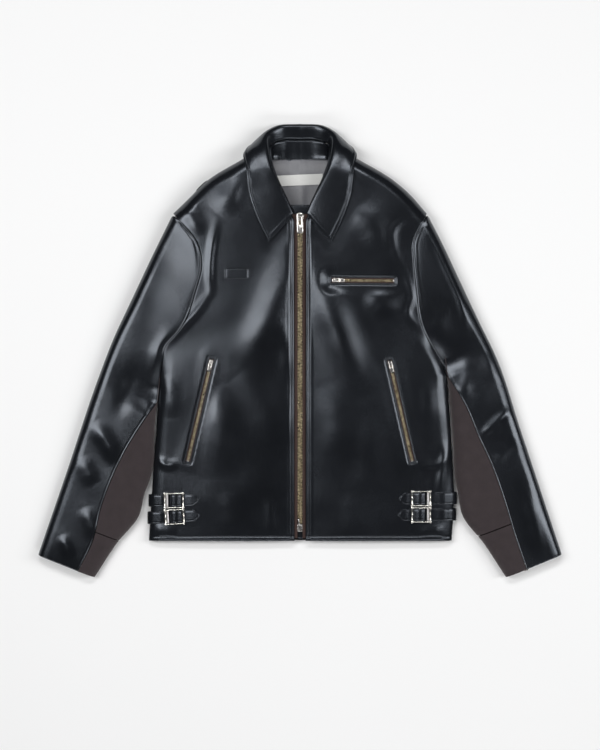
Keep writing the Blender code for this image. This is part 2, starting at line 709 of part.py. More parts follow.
def buckle_place(spec):
    side = spec["side"]
    z = float(front_z(side, np.array(float(spec["buckle"])), np.array(float(spec["y"]))))
    turn = Matrix.Rotation(-SIGN[side] * spec["tilt"], 4, "Z")
    flip = Matrix.Rotation(0 if side == "left" else np.pi, 4, "Z")
    at = Vector((SIGN[side] * spec["buckle"], spec["y"], z + BUCKLE_LIFT)) * MM
    return Matrix.Translation(at) @ turn @ flip


ROLLER_X, ROLLER_Z, ROLLER_RADIUS, ROLLER_BORE = 12.0, 5.7, 2.3, 1.3
ROLLER_GAP, ROLLER_BAR_RADIUS, ROLLER_BAR_INSET = 0.4, 0.9, 0.5
FRAME_LOW, FRAME_HIGH, POST_UNDER, BAR_HIGH = 1.0, 6.9, 3.9, 2.9
RAIL_WIDTH, RAIL_INSET, POST_WIDTH, BAR_INSET = 2.7, 1.2, 3.0, 0.4
BAR_X = (-2.2, 0.2)


def buckle_mesh(name):
    """A frame with two posts across the strap, a centre bar under it, and a thin bar for the roller.
    Local X points to the outer post."""
    wide, tall = BUCKLE_WIDTH / 2, BUCKLE_HEIGHT / 2
    ends, low, high, under = wide - RAIL_INSET, FRAME_LOW, FRAME_HIGH, POST_UNDER
    rails = [box_mesh("rail", (-ends, y, low), (ends, y + RAIL_WIDTH, high))
             for y in (-tall, tall - RAIL_WIDTH)]
    posts = [box_mesh("post", (x, -tall, under), (x + POST_WIDTH, tall, high))
             for x in (-wide, wide - POST_WIDTH)]
    reach = tall - BAR_INSET
    centre = box_mesh("bar", (BAR_X[0], -reach, low), (BAR_X[1], reach, BAR_HIGH))
    reach = tall - ROLLER_BAR_INSET
    thin = rod_mesh("thin", (ROLLER_X, -reach, ROLLER_Z), (ROLLER_X, reach, ROLLER_Z), ROLLER_BAR_RADIUS, 8)
    return joined(name, [posts[0], rails[0], posts[1], rails[1], centre, thin])


def add_straps(materials):
    reach = BUCKLE_HEIGHT / 2 - RAIL_WIDTH - ROLLER_GAP
    for name, spec in STRAPS.items():
        add_object(f"strap_{name}", strap_mesh(name, spec), materials["leather"])
        at = buckle_place(spec)
        add_object(f"buckle_{name}", buckle_mesh(f"buckle_{name}"), materials["silver"], at)
        tube = rod_mesh("roller", (0, -reach, 0), (0, reach, 0), ROLLER_RADIUS, 12, ROLLER_BORE)
        axis = at @ Matrix.Translation(Vector((ROLLER_X, 0, ROLLER_Z)) * MM)
        add_object(f"buckle_roller_{name}", tube, materials["silver"], axis)


def add_body(materials):
    leather = materials["leather"]
    hand = {}
    for side in SIGN:
        ends = [on_front(side, point) for point in HAND_ZIP_ENDS[side]]
        hand[side] = zip_matrix(*ends, 1), zip_length(*ends)
    chest_ends = [on_front("left", point) for point in CHEST_ZIP_ENDS]
    chest = zip_matrix(*chest_ends, 1), zip_length(*chest_ends)
    slots = {side: [pocket_slot(*hand[side])] for side in SIGN}
    slots["left"].append(pocket_slot(*chest))
    for side in SIGN:
        add_object(f"front_panel_{side}", front_panel(side, slots[side]), leather)
        add_object(f"front_lining_{side}", front_lining(side), materials["lining"])
        bag = front_patch("bag", side, np.linspace(*HAND_BAG_X, 4), np.linspace(*HAND_BAG_Y, 4), *BAG_LIFTS)
        add_object(f"hand_pocket_bag_{side}", bag, materials["lining"])
        add_pocket_zip(f"hand_zip_{side}", *hand[side], materials)
    add_pocket_zip("chest_zip", *chest, materials)
    bag = front_patch("bag", "left", np.linspace(*CHEST_BAG_X, 4), np.linspace(*CHEST_BAG_Y, 3), *BAG_LIFTS)
    add_object("chest_pocket_bag", bag, materials["lining"])
    welt = front_patch("pen_welt", "right", np.linspace(*PEN_WELT_X, 4), PEN_WELT_Y, *PEN_WELT_LIFTS)
    add_object("pen_pocket_welt", welt, leather)
    add_object("back_panel", back_panel(), leather)
    add_object("back_lining", back_lining(), materials["lining"])
    label = box_mesh("label", *LABEL_BOX)
    add_object("neck_label", label, materials["label"])


def add_sleeves(materials):
    for side in SIGN:
        lines = sleeve_lines(side)
        add_object(f"sleeve_{side}", sleeve(side, lines, cuff_slot(side, False)), materials["leather"])
        slot = cuff_slot(side, True)
        rows = np.arange(CUFF_SEAM + 1) + np.where(np.arange(CUFF_SEAM + 1) == CUFF_SEAM, -0.03, 0)
        gusset = fabric_piece(f"sleeve_gusset_{side}", side, lines, rows, slot)
        add_object(f"sleeve_gusset_{side}", gusset, materials["fabric"])
        rows = np.array([CUFF_SEAM + 0.03, CUFF_SEAM + 1, len(FABRIC_ROWS) - 1])
        cuff = fabric_piece(f"cuff_panel_{side}", side, lines, rows, slot)
        add_object(f"cuff_panel_{side}", cuff, materials["fabric"])
        add_cuff_zip(side, materials)


def add_collar(materials):
    fall = collar_piece("collar_fall", [COLLAR_SEAM, COLLAR_ROLL, COLLAR_MIDDLE, COLLAR_EDGE], COLLAR_LEATHER)
    add_object("collar_fall", fall, materials["leather"])
    seam = np.asarray(COLLAR_SEAM, float)
    line = np.asarray(NECKLINE, float)
    top = seam + (line - seam) * 0.25
    middle = (seam + line) / 2
    stand = collar_piece("collar_stand", [line, middle, top], COLLAR_LEATHER)
    add_object("collar_stand", stand, materials["leather"])


def main():
    for item in list(bpy.data.objects):
        bpy.data.objects.remove(item)
    materials = make_materials()
    add_body(materials)
    add_sleeves(materials)
    add_collar(materials)
    add_main_zip(materials)
    add_straps(materials)
    bpy.context.view_layer.update()


main()
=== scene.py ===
"""Zip-front jacket with buckled side straps, lying flat on its back: surfaces, finishes, light and camera.

X runs across the body towards the wearer's left, Y up the body to the collar, Z up from the floor.
Outlines and sizes are in millimetres, and MM turns them into metres where a mesh is made.
"""

import bpy
import numpy as np
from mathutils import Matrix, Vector


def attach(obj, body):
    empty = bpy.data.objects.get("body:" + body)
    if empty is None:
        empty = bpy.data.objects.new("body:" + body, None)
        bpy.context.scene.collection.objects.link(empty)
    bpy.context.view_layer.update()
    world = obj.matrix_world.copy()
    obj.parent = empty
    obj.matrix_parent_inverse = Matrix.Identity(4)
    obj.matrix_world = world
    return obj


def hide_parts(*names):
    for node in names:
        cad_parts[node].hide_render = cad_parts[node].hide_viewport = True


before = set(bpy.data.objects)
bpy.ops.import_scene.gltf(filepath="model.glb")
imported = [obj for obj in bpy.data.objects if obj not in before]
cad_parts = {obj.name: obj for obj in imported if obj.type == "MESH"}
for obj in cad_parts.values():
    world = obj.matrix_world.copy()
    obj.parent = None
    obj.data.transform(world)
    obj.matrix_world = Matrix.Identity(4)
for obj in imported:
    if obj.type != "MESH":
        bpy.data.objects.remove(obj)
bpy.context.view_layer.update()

MM = 0.001
SIGN = {"left": 1, "right": -1}

# Body outlines seen from above, as (distance from the centre line, height up the body).
HEM_Y = -342
NECK_Y = 350
SHOULDER_Y = 249
SHOULDER = {
    "left": [(229, SHOULDER_Y), (196, 286), (169, 309), (100, NECK_Y)],
    "right": [(229, SHOULDER_Y), (201, 276), (167, 309), (99, NECK_Y)],
}
ARMHOLE = {
    "left": [(266, -43), (254, -15), (238, 10), (223, 36), (209, 108), (204, 161), (203, 193), (229, 249)],
    "right": [(257, -90), (247, -15), (241, 10), (218, 36), (187, 108), (176, 161), (183, 193), (229, 249)],
}
SIDE_EDGE = {
    "left": [(275, HEM_Y), (279, -276), (274, -159), (266, -43)],
    "right": [(274, HEM_Y), (272, -309), (267, -232), (257, -90)],
}
FRONT_NECKLINE = [(9.5, 236), (15, 246), (35, 285), (54, 325), (62, NECK_Y)]

# Thickness of the body as it lies.
HEM_HEIGHT = 21
CHEST_HEIGHT = 38
DOME = 4
DOME_HALF_WIDTH = 260
EDGE_SHARE = 0.46
SIDE_ROLL = 22
SHOULDER_ROLL = 24
LEATHER = 1.5
SEAM_GAP = 0.5

# Sleeves: outer fold, seam between leather and fabric, and inner fold of the fabric.
OUTER_FOLD = {
    "left": [(229, 249), (254, 201), (289, 127), (320, 61), (356, -14), (398, -140), (473, -366)],
    "right": [(229, 249), (266, 174), (302, 98), (339, 18), (365, -50), (423, -222), (473, -367)],
}
FABRIC_SEAM = {
    "left": [(266, -44), (296, -93), (321, -151), (346, -206), (366, -262), (386, -328), (407, -389)],
    "right": [(257, -91), (280, -123), (315, -179), (340, -231), (358, -282), (370, -333), (398, -391)],
}
INNER_FOLD = {
    "left": [(267, -44), (276, -159), (281, -235), (285.5, -258), (292, -292), (333, -348), (372, -407.5)],
    "right": [(258, -91), (262, -130), (269, -225), (281, -258), (289.5, -293), (332, -348), (371, -407.5)],
}
UNDERARM_POINT = 4
SLEEVE_HEIGHT = 36
CUFF_HEIGHT = 27
SLEEVE_ROLL = 20
FABRIC = 1.2
CUFF_SEAM = 0.77
HAND_ZIP_ENDS = {"left": ((202, -197), (161, -17)), "right": ((202, -197), (159, -15))}
CHEST_ZIP_ENDS = ((168, 127), (58, 128))
CUFF_ZIP_ENDS = {"left": ((366, -290), (406, -385)), "right": ((357, -291), (397, -387))}
CUFF_ZIP_Z = 3.5
MAIN_ZIP_ENDS = ((0, -311), (0, SHOULDER_Y))

# Collar, front end to centre back: inner seam, roll and outer edge as (across, up, height).
COLLAR_SEAM = [(15, 247, 43.5), (31, 276, 46), (41, 301, 46), (49, 330, 44), (52, 358, 34),
               (48, 377, 20), (30, 384, 12), (0, 385, 10)]
COLLAR_ROLL_LINE = [(14, 244, 45.2), (27, 273, 48.2), (41, 300, 50.4), (55, 330, 51), (61, 362, 45),
                    (60, 391, 31), (40, 404, 19), (0, 407, 15)]
COLLAR_MIDDLE = [(32, 222, 45.4), (51, 256, 48.2), (67, 290, 50.0), (78, 328, 50.6), (83, 362, 41),
                 (76, 384, 17), (46, 403, 8), (0, 407, 6)]
COLLAR_EDGE = [(56, 197, 44.2), (76, 238, 47.0), (90, 278, 48.8), (97, 330, 49.4), (102, 354, 35),
               (88, 370, 7.5), (52, 378, 2.6), (0, 378, 2.4)]
NECKLINE = [(12, 251, 39), (29, 287, 40), (41, 312, 39), (49, 335, 35), (54, 350, 24),
            (50, 355, 12), (30, 356, 6), (0, 356, 5)]

# Zips. Heights are from the outer face of the leather, outwards.
MAIN_ZIP = dict(length=14, half=6.5, top=-0.4, bottom=-7.2, plate=1.4, window=2.6, bail=0.9, bail_half=1.5,
                tooth_out=4.3, tooth_z=-3.8, tooth_tall=1.35, pitch=2.7, tape_in=4.6, tape_out=14, tape_z=-3.8,
                pull=31, pull_half=5.4, pull_bar=0.8, slot=15, eye=4.6)
SMALL_ZIP = dict(length=9, half=3.7, top=0.8, bottom=-4.2, plate=1.0, window=1.9, bail=0.6, bail_half=1.0,
                 tooth_out=2.3, tooth_z=-1.7, tooth_tall=0.85, pitch=1.9, tape_in=2.4, tape_out=7.2, tape_z=-1.7,
                 pull=18, pull_half=3.3, pull_bar=0.55, slot=7, eye=2.6)
WELT_HALF = 7.6
WELT_LIP = 4.3

# Straps and buckles.
STRAP_WIDTH = 22
STRAP = 2.4
BUCKLE_WIDTH = 36
BUCKLE_HEIGHT = 28.4
ROLLER_X, ROLLER_Z, ROLLER_RADIUS, ROLLER_BORE = 12.0, 5.7, 2.3, 1.3
STRAPS = {
    "left_upper": dict(side="left", y=-264.5, tilt=0, tip=178, buckle=218),
    "left_lower": dict(side="left", y=-294, tilt=0, tip=176, buckle=218),
    "right_upper": dict(side="right", y=-268, tilt=0.02, tip=182, buckle=227),
    "right_lower": dict(side="right", y=-297.5, tilt=0.06, tip=180, buckle=226),
}

# Soft folds of the leather: a line of points, how far each flank reaches, and the height.
BODY_FOLDS = [
    ([(2, 214), (-16, 150), (-40, 90), (-72, 20), (-90, -30)], 33, 7.2),
    ([(-34, 60), (-24, 0), (-22, -60)], 15, 2.4),
    ([(20, 200), (42, 110), (72, 30), (112, -84)], 32, 7.6),
    ([(-148, 236), (-157, 195), (-162, 130), (-160, 100)], 6.5, 2.1),
    ([(-158, 112), (-180, 78), (-220, 35), (-242, 10)], 7, 2.1),
    ([(-84, 318), (-118, 288), (-150, 248)], 20, 3.8),
    ([(-210, 266), (-192, 236), (-180, 206)], 13, 2.6),
    ([(210, 232), (188, 236), (169, 220), (168, 190), (184, 150)], 8, 1.1),
    ([(184, 150), (201, 95), (194, 71), (222, 34)], 7, 1.2),
    ([(116, 104), (146, 86), (160, 60)], 24, 2.6),
    ([(268, -160), (258, -215), (250, -268)], 10, 3.2),
    ([(-262, -190), (-240, -205), (-214, -200)], 7, 1.8),
    ([(266, -190), (240, -205), (212, -202)], 7, 1.6),
    ([(-54, -262), (-52, -335)], 10, 1.4),
    ([(-110, -40), (-66, -100), (-44, -170)], 30, 2.8),
    ([(44, -60), (70, -120), (60, -190)], 28, 2.6),
    ([(-150, -60), (-140, -140), (-150, -230)], 26, 2.2),
    ([(120, -110), (126, -190), (112, -260)], 26, 2.0),
    ([(90, -250), (98, -330)], 18, 1.4),
    ([(-130, -250), (-120, -330)], 20, 1.4),
    ([(-270, -324), (-246, -322), (-222, -328)], 12, 2.2),
    ([(214, -328), (236, -322), (262, -325)], 12, 2.2),
    ([(-230, -120), (-236, -40)], 16, 1.8),
    ([(232, -130), (232, -50)], 16, 1.8),
    ([(104, 262), (134, 222), (150, 176)], 24, 3.0),
]
SLEEVE_FOLDS = [
    ([(-256, 190), (-283, 120), (-301, 48), (-311, -20)], 22, 1.3),
    ([(-232, 40), (-252, 0), (-268, -70)], 12, 2.6),
    ([(-292, -20), (-318, -90), (-330, -120)], 14, -1.8),
    ([(-372, -128), (-350, -160), (-330, -200)], 14, 3.2),
    ([(-396, -190), (-372, -240)], 15, 1.8),
    ([(-388, -280), (-368, -335)], 13, 2.2),
    ([(-430, -330), (-412, -372)], 10, 2.2),
    ([(234, 214), (262, 156), (288, 98), (300, 30)], 9, 2.0),
    ([(300, -10), (296, -60), (300, -96)], 12, 1.8),
    ([(378, -104), (352, -128), (322, -158)], 9, 3.4),
    ([(392, -160), (366, -182), (350, -205)], 11, -1.6),
    ([(404, -240), (424, -310), (436, -380)], 13, 2.6),
    ([(262, 90), (250, 40), (266, -20)], 16, 1.2),
    ([(340, 0), (350, -60)], 14, 1.4),
]
RIPPLES = 12
RIPPLE_LENGTHS = (55, 170)
RIPPLE_HEIGHT = 0.1


# ---------------------------------------------------------------- lines and heights


def smooth_step(low, high, value):
    """0 below low, 1 above high, and 3t^2 - 2t^3 between."""
    t = np.clip((value - low) / (high - low), 0, 1)
    return t * t * (3 - 2 * t)


def through(knots, values, at):
    """Curve through the values at the knots: a cubic on each stretch, with slopes from the neighbours."""
    knots, values = np.asarray(knots, float), np.asarray(values, float)
    slopes = np.gradient(values, knots, axis=0)
    at = np.clip(at, knots[0], knots[-1])
    i = np.clip(np.searchsorted(knots, at, side="right") - 1, 0, len(knots) - 2)
    step = knots[i + 1] - knots[i]
    s = (at - knots[i]) / step
    if values.ndim > 1:
        s, step = s[..., None], step[..., None]
    rise_a, rise_b = (1 + 2 * s) * (1 - s) ** 2, s * s * (3 - 2 * s)
    bend_a, bend_b = s * (1 - s) ** 2 * step, s * s * (s - 1) * step
    return rise_a * values[i] + rise_b * values[i + 1] + bend_a * slopes[i] + bend_b * slopes[i + 1]


def shares_of(points):
    """How far along a line each of its points is, from 0 to 1."""
    steps = np.linalg.norm(np.diff(np.asarray(points, float), axis=0), axis=1)
    return np.concatenate([[0], np.cumsum(steps)]) / steps.sum()


def curve(points, shares):
    """Points at shares of the length of a smooth line through the given points."""
    return through(shares_of(points), points, shares)


def roll(distance, reach):
    """Quarter ellipse: 0 on a folded edge, 1 at reach and beyond."""
    u = np.clip(distance / reach, 0, 1)
    return np.sqrt(np.maximum(0, 1 - (1 - u) ** 2))


def nearest_on_line(x, y, line):
    """Shortest way from each point to a broken line, and how far along the line it meets it, 0 to 1."""
    nearest, along = np.full(np.shape(x), np.inf), np.zeros(np.shape(x))
    for i, ((x0, y0), (x1, y1)) in enumerate(zip(line[:-1], line[1:])):
        share = ((x - x0) * (x1 - x0) + (y - y0) * (y1 - y0)) / ((x1 - x0) ** 2 + (y1 - y0) ** 2)
        share = np.clip(share, 0, 1)
        away = np.hypot(x - x0 - share * (x1 - x0), y - y0 - share * (y1 - y0))
        along = np.where(away < nearest, (i + share) / (len(line) - 1), along)
        nearest = np.minimum(nearest, away)
    return nearest, along


def distance_to_line(x, y, line):
    return nearest_on_line(x, y, line)[0]


def body_edge(side, y):
    """Distance from the centre line to the edge of the body: side, armhole, then shoulder."""
    y = np.asarray(y, float)
    lines = [np.array(a[side], float) for a in (SIDE_EDGE, ARMHOLE, SHOULDER)]
    low, middle, high = (through(line[:, 1], line[:, 0], y) for line in lines)
    return np.where(y < ARMHOLE[side][0][1], low, np.where(y < SHOULDER_Y, middle, high))


def rise(y):
    return np.interp(y, [HEM_Y, SHOULDER_Y], [HEM_HEIGHT, CHEST_HEIGHT])


def fullness(side, x, y):
    """0 on the side and shoulder folds of the body, 1 away from them. The armhole isn't a fold."""
    tuck = smooth_step(0, 90, ARMHOLE[side][0][1] + 90 - y)
    side_fall = roll(body_edge(side, y) - x, SIDE_ROLL)
    shoulder = curve(SHOULDER[side], np.linspace(0, 1, 10))
    return roll(distance_to_line(x, y, shoulder), SHOULDER_ROLL) * (1 - tuck * (1 - side_fall))


def plain_front(side, x, y, full=None):
    """Front face of the body without its folds: a low dome between the zip and the side fold."""
    middle = EDGE_SHARE * rise(y)
    high = rise(y) + DOME * np.sin(np.pi * np.clip(x, 0, DOME_HALF_WIDTH) / DOME_HALF_WIDTH)
    return middle + 0.5 + (high - middle - 0.5) * (fullness(side, x, y) if full is None else full)


def plain_back(side, x, y, full=None):
    return (EDGE_SHARE * rise(y) - 0.5) * (1 - (fullness(side, x, y) if full is None else full))


def fold_relief(x, y, folds):
    """Sum of soft ridges. Each is a bell across its line, and fades out towards the line's ends."""
    total = np.zeros(np.shape(x))
    for points, reach, height in folds:
        away, along = nearest_on_line(x, y, curve(points, np.linspace(0, 1, 6 * len(points))))
        fade = smooth_step(-0.1, 0.4, along) * smooth_step(-0.1, 0.4, 1 - along)
        total += height * fade * np.exp(-((away / reach) ** 2))
    return total


def ripple_relief(x, y, seed):
    """Sum of long shallow waves in all directions, as on leather that has been worn and laid out."""
    random = np.random.default_rng(seed)
    total = np.zeros(np.shape(x))
    for _ in range(RIPPLES):
        length = random.uniform(*RIPPLE_LENGTHS)
        turn = random.uniform(0, np.pi)
        start = random.uniform(0, 6.28)
        phase = (x * np.cos(turn) + y * np.sin(turn)) * 2 * np.pi / length + start
        total += RIPPLE_HEIGHT * length / RIPPLE_LENGTHS[1] * 2 * np.sin(phase)
    return total


def on_front(side, point):
    x, y = point
    return np.array([SIGN[side] * x, y, float(plain_front(side, np.array(float(x)), np.array(float(y))))])


def zip_frame(start, end, outward):
    """Place of a zip: its start, and its directions across, up the zip and out of the garment."""
    start, end = np.asarray(start, float), np.asarray(end, float)
    up = (end - start) / np.linalg.norm(end - start)
    across = np.cross(up, (0, 0, outward))
    across /= np.linalg.norm(across)
    return start, np.array([across, up, np.cross(across, up)]), np.linalg.norm(end - start)


def pocket_frames(side):
    """Zips sewn into one front: (frame, how far the recess runs)."""
    zips = [zip_frame(*(on_front(side, p) for p in HAND_ZIP_ENDS[side]), 1)]
    if side == "left":
        zips.append(zip_frame(*(on_front(side, p) for p in CHEST_ZIP_ENDS), 1))
    return zips


POCKET_SUNK_HALF, POCKET_SUNK_END = 4.0, 1.5
POCKET_SUNK_DEPTH, POCKET_SUNK_SLOPE = 3.4, 4.8


def pocket_distance(x, y, place):
    """How far outside a pocket's zip opening a point is, and 0 within it."""
    start, axes, length = place
    across = (x - start[0]) * axes[0][0] + (y - start[1]) * axes[0][1]
    up = (x - start[0]) * axes[1][0] + (y - start[1]) * axes[1][1]
    beside = np.maximum(np.abs(across) - POCKET_SUNK_HALF, 0)
    beyond = np.maximum(np.abs(up - length / 2) - length / 2 - POCKET_SUNK_END, 0)
    return np.hypot(beside, beyond)


# ---------------------------------------------------------------- meshes


class Shape:
    """Points in millimetres with faces of four or three corners, and a place on the cloth for each point."""

    def __init__(self, points, quads=None, triangles=None, cloth=None, edge=None):
        self.points = np.asarray(points, float).reshape(-1, 3)
        self.quads = np.zeros((0, 4), int) if quads is None else np.asarray(quads, int).reshape(-1, 4)
        triangles = [] if triangles is None else triangles
        self.triangles = np.asarray(triangles, int).reshape(-1, 3)
        count = len(self.points)
        self.cloth = self.points[:, :2].copy() if cloth is None else np.asarray(cloth, float).reshape(-1, 2)
        self.edge = np.zeros(count) if edge is None else np.asarray(edge, float).reshape(-1)

    def moved(self, start, axes):
        """The shape set into a frame, given by its start and its three directions."""
        points = self.points @ np.asarray(axes) + start
        return Shape(points, self.quads, self.triangles, self.cloth, self.edge)


def joined(shapes):
    """Several shapes as one, none of them welded."""
    starts = np.cumsum([0] + [len(s.points) for s in shapes[:-1]])
    return Shape(
        np.concatenate([s.points for s in shapes]),
        np.concatenate([s.quads + n for s, n in zip(shapes, starts)]),
        np.concatenate([s.triangles + n for s, n in zip(shapes, starts)]),
        np.concatenate([s.cloth for s in shapes]),
        np.concatenate([s.edge for s in shapes]),
    )


def repeated(shape, starts, axes):
    """Copies of a shape, one at each start, turned to the directions given there."""
    starts, axes = np.asarray(starts, float), np.asarray(axes, float)
    points = np.einsum("pk,nkj->npj", shape.points, axes) + starts[:, None]
    step = (np.arange(len(starts)) * len(shape.points))[:, None, None]
    return Shape(points, shape.quads + step, shape.triangles + step,
                 np.tile(shape.cloth, (len(starts), 1)), np.tile(shape.edge, len(starts)))


def outwards(shape):
    """The shape with its faces turned round if it encloses a negative volume."""
    p = shape.points
    corners = [shape.triangles, shape.quads[:, [0, 1, 2]], shape.quads[:, [0, 2, 3]]]
    volume = sum(np.einsum("ij,ij->i", p[t[:, 0]], np.cross(p[t[:, 1]], p[t[:, 2]])).sum() for t in corners)
    if volume < 0:
        shape.quads, shape.triangles = shape.quads[:, ::-1], shape.triangles[:, ::-1]
    return shape


def grid_quads(rows, columns, wrap=False):
    index = np.arange(rows * columns).reshape(rows, columns)
    if wrap:
        index = np.concatenate([index, index[:, :1]], 1)
    return np.stack([index[:-1, :-1], index[1:, :-1], index[1:, 1:], index[:-1, 1:]], -1).reshape(-1, 4)


def grid_normals(grid):
    """Unit normal at each point of a grid, from the differences along its rows and columns."""
    normal = np.cross(np.gradient(grid, axis=0), np.gradient(grid, axis=1))
    return normal / np.maximum(np.linalg.norm(normal, axis=-1, keepdims=True), 1e-9)


def lengths_along(grid, axis):
    steps = np.linalg.norm(np.diff(grid, axis=axis), axis=-1)
    start = np.zeros_like(steps.take([0], axis))
    return np.concatenate([start, np.cumsum(steps, axis)], axis)


def cloth_shell(grid, thickness, rim=2.2, outer=True):
    """A sheet of one thickness, thinned to a round edge on its four sides.
    The grid is its outer face, or its middle; the other face lies below along the normal."""
    normal = grid_normals(grid)
    across, along = lengths_along(grid, 1), lengths_along(grid, 0)
    border = np.minimum(np.minimum(across, across[:, -1:] - across), np.minimum(along, along[-1:] - along))
    swell = thickness / 2 * np.maximum(roll(border, rim), 0.12)[..., None]
    middle = grid - normal * thickness / 2 if outer else grid
    faces = [middle + normal * swell, middle - normal * swell]
    rows, columns = grid.shape[:2]
    index = np.arange(rows * columns).reshape(rows, columns)
    loop = np.concatenate([index[0], index[1:, -1], index[-1, -2::-1], index[-2:0:-1, 0]])
    under = loop + rows * columns
    wall = np.stack([loop, np.roll(loop, -1), np.roll(under, -1), under], -1)
    quads = grid_quads(rows, columns)
    cloth = np.stack([across, along], -1)
    edge = np.exp(-border / 5)
    shape = Shape(np.concatenate([f.reshape(-1, 3) for f in faces]),
                  np.concatenate([quads, quads[:, ::-1] + rows * columns, wall[:, ::-1]]),
                  cloth=np.concatenate([cloth, cloth]).reshape(-1, 2), edge=np.concatenate([edge, edge]))
    return outwards(shape)


def lofted(rings, capped=True, closed=False):
    """Skin over closed rings of as many points each. It ends in caps, or runs back to its first ring."""
    rings = np.asarray(rings, float)
    if closed:
        rings = np.concatenate([rings, rings[:1]])
    count, sides = rings.shape[:2]
    quads = grid_quads(count, sides, wrap=True)
    points = rings.reshape(-1, 3)
    if closed:
        quads = np.where(quads >= (count - 1) * sides, quads - (count - 1) * sides, quads)
        points = points[: (count - 1) * sides]
    triangles = None
    if capped and not closed:
        side = np.arange(sides)
        after = (side + 1) % sides
        low, high = len(points), len(points) + 1
        last = (count - 1) * sides
        points = np.concatenate([points, rings[[0, -1]].mean(1)])
        triangles = np.concatenate([np.stack([after, side, np.full(sides, low)], -1),
                                    np.stack([last + side, last + after, np.full(sides, high)], -1)])
    return outwards(Shape(points, quads, triangles))


def ellipse(sides, power=2.0):
    """Unit outline with |x|^power + |y|^power = 1: a circle at 2, and squarer above."""
    turn = (np.arange(sides) + 0.5) * 2 * np.pi / sides
    c, s = np.cos(turn), np.sin(turn)
    return np.stack([np.sign(c) * np.abs(c) ** (2 / power), np.sign(s) * np.abs(s) ** (2 / power)], -1)


def bar(path, half_sizes, up, sides=12, power=2.0):
    """A bar along a path. Its section has the given half width and half height at each point."""
    path = np.asarray(path, float)
    sizes = np.broadcast_to(np.asarray(half_sizes, float), (len(path), 2))
    tangent = np.gradient(path, axis=0)
    tangent /= np.linalg.norm(tangent, axis=1, keepdims=True)
    wide = np.cross(tangent, up)
    wide /= np.linalg.norm(wide, axis=1, keepdims=True)
    high = np.cross(wide, tangent)
    outline = ellipse(sides, power)
    rings = path[:, None] + outline[None, :, :1] * (wide * sizes[:, :1])[:, None] \
        + outline[None, :, 1:] * (high * sizes[:, 1:])[:, None]
    return lofted(rings)


def straight_bar(start, end, half_sizes, up, flare=None, sides=12, power=2.0, steps=13):
    """A straight bar with rounded ends. flare(t) scales its section along t from -1 to 1."""
    t = np.sin(np.linspace(-np.pi / 2, np.pi / 2, steps))
    start, end = np.asarray(start, float), np.asarray(end, float)
    path = start + (end - start) * (t[:, None] + 1) / 2
    end_round = np.sqrt(np.clip(1 - np.abs(t) ** 16, 0.03, 1))
    scale = end_round * (1 if flare is None else flare(t))
    return bar(path, np.asarray(half_sizes) * scale[:, None], up, sides, power)


def plate_between(outer, inner, low, high, bevel):
    """A flat plate between two outlines with as many points each, with rounded rims."""
    towards = inner - outer
    length = np.maximum(np.linalg.norm(towards, axis=1, keepdims=True), 1e-6)
    inset = towards / length * bevel
    third = bevel * 0.3
    levels = [(outer, low + bevel), (outer + inset * 0.3, low + third), (outer + inset, low),
              (inner - inset, low), (inner - inset * 0.3, low + third), (inner, low + bevel),
              (inner, high - bevel), (inner - inset * 0.3, high - third), (inner - inset, high),
              (outer + inset, high), (outer + inset * 0.3, high - third), (outer, high - bevel)]
    rings = [np.concatenate([line, np.full((len(line), 1), z)], 1) for line, z in levels]
    return lofted(rings, closed=True)


def dome(outline, low, high, bevel, crown=0.0):
    """A solid plate with an outline, a round rim and a slightly raised middle."""
    levels = [(0.5, low), (0.94, low), (1, low + bevel), (1, high - bevel), (0.97, high - bevel * 0.35),
              (0.9, high), (0.65, high + crown * 0.6), (0.3, high + crown)]
    rings = [np.concatenate([outline * s, np.full((len(outline), 1), z)], 1) for s, z in levels]
    return lofted(rings)


def round_rectangle(left, low, right, high, radius, corner=8, run=6):
    """Outline with quarter circles at its corners and evenly spaced points on its sides."""
    turn = np.linspace(0, np.pi / 2, corner)
    centres = [(right - radius, high - radius), (left + radius, high - radius),
               (left + radius, low + radius), (right - radius, low + radius)]
    arcs = [np.stack([cx + radius * np.cos(turn + k * np.pi / 2), cy + radius * np.sin(turn + k * np.pi / 2)], -1)
            for k, (cx, cy) in enumerate(centres)]
    points = []
    for arc, following in zip(arcs, arcs[1:] + arcs[:1]):
        share = np.linspace(0, 1, run + 2)[1:-1, None]
        points += [arc, arc[-1] + (following[0] - arc[-1]) * share]
    return np.concatenate(points)


def stitches(path, normals, pitch=3.4, length=2.5, radius=0.36, lift=0.1):
    """A row of stitches along a path: short threads that dip into the leather at both ends."""
    path, normals = np.asarray(path, float), np.asarray(normals, float)
    total = lengths_along(path, 0)[-1]
    share = (np.arange(max(1, int(total / pitch))) + 0.5) * pitch / total
    at = shares_of(path)
    place = np.stack([np.interp(share, at, path[:, k]) for k in range(3)], -1)
    ahead = np.stack([np.interp(share + 0.5 * pitch / total, at, path[:, k]) for k in range(3)], -1)
    behind = np.stack([np.interp(share - 0.5 * pitch / total, at, path[:, k]) for k in range(3)], -1)
    out = np.stack([np.interp(share, at, normals[:, k]) for k in range(3)], -1)
    along = ahead - behind
    along /= np.linalg.norm(along, axis=1, keepdims=True)
    across = np.cross(along, out)
    across /= np.linalg.norm(across, axis=1, keepdims=True)
    out = np.cross(across, along)
    t = np.linspace(-1, 1, 5)
    line = np.stack([t * length / 2, np.zeros(5), radius * (0.5 - 1.1 * t**4)], -1)
    thread = bar(line, np.stack([radius * (1 - 0.5 * t**4)] * 2, -1), (0, 0, 1), sides=6)
    return repeated(thread, place + out * lift, np.stack([along, across, out], 1))


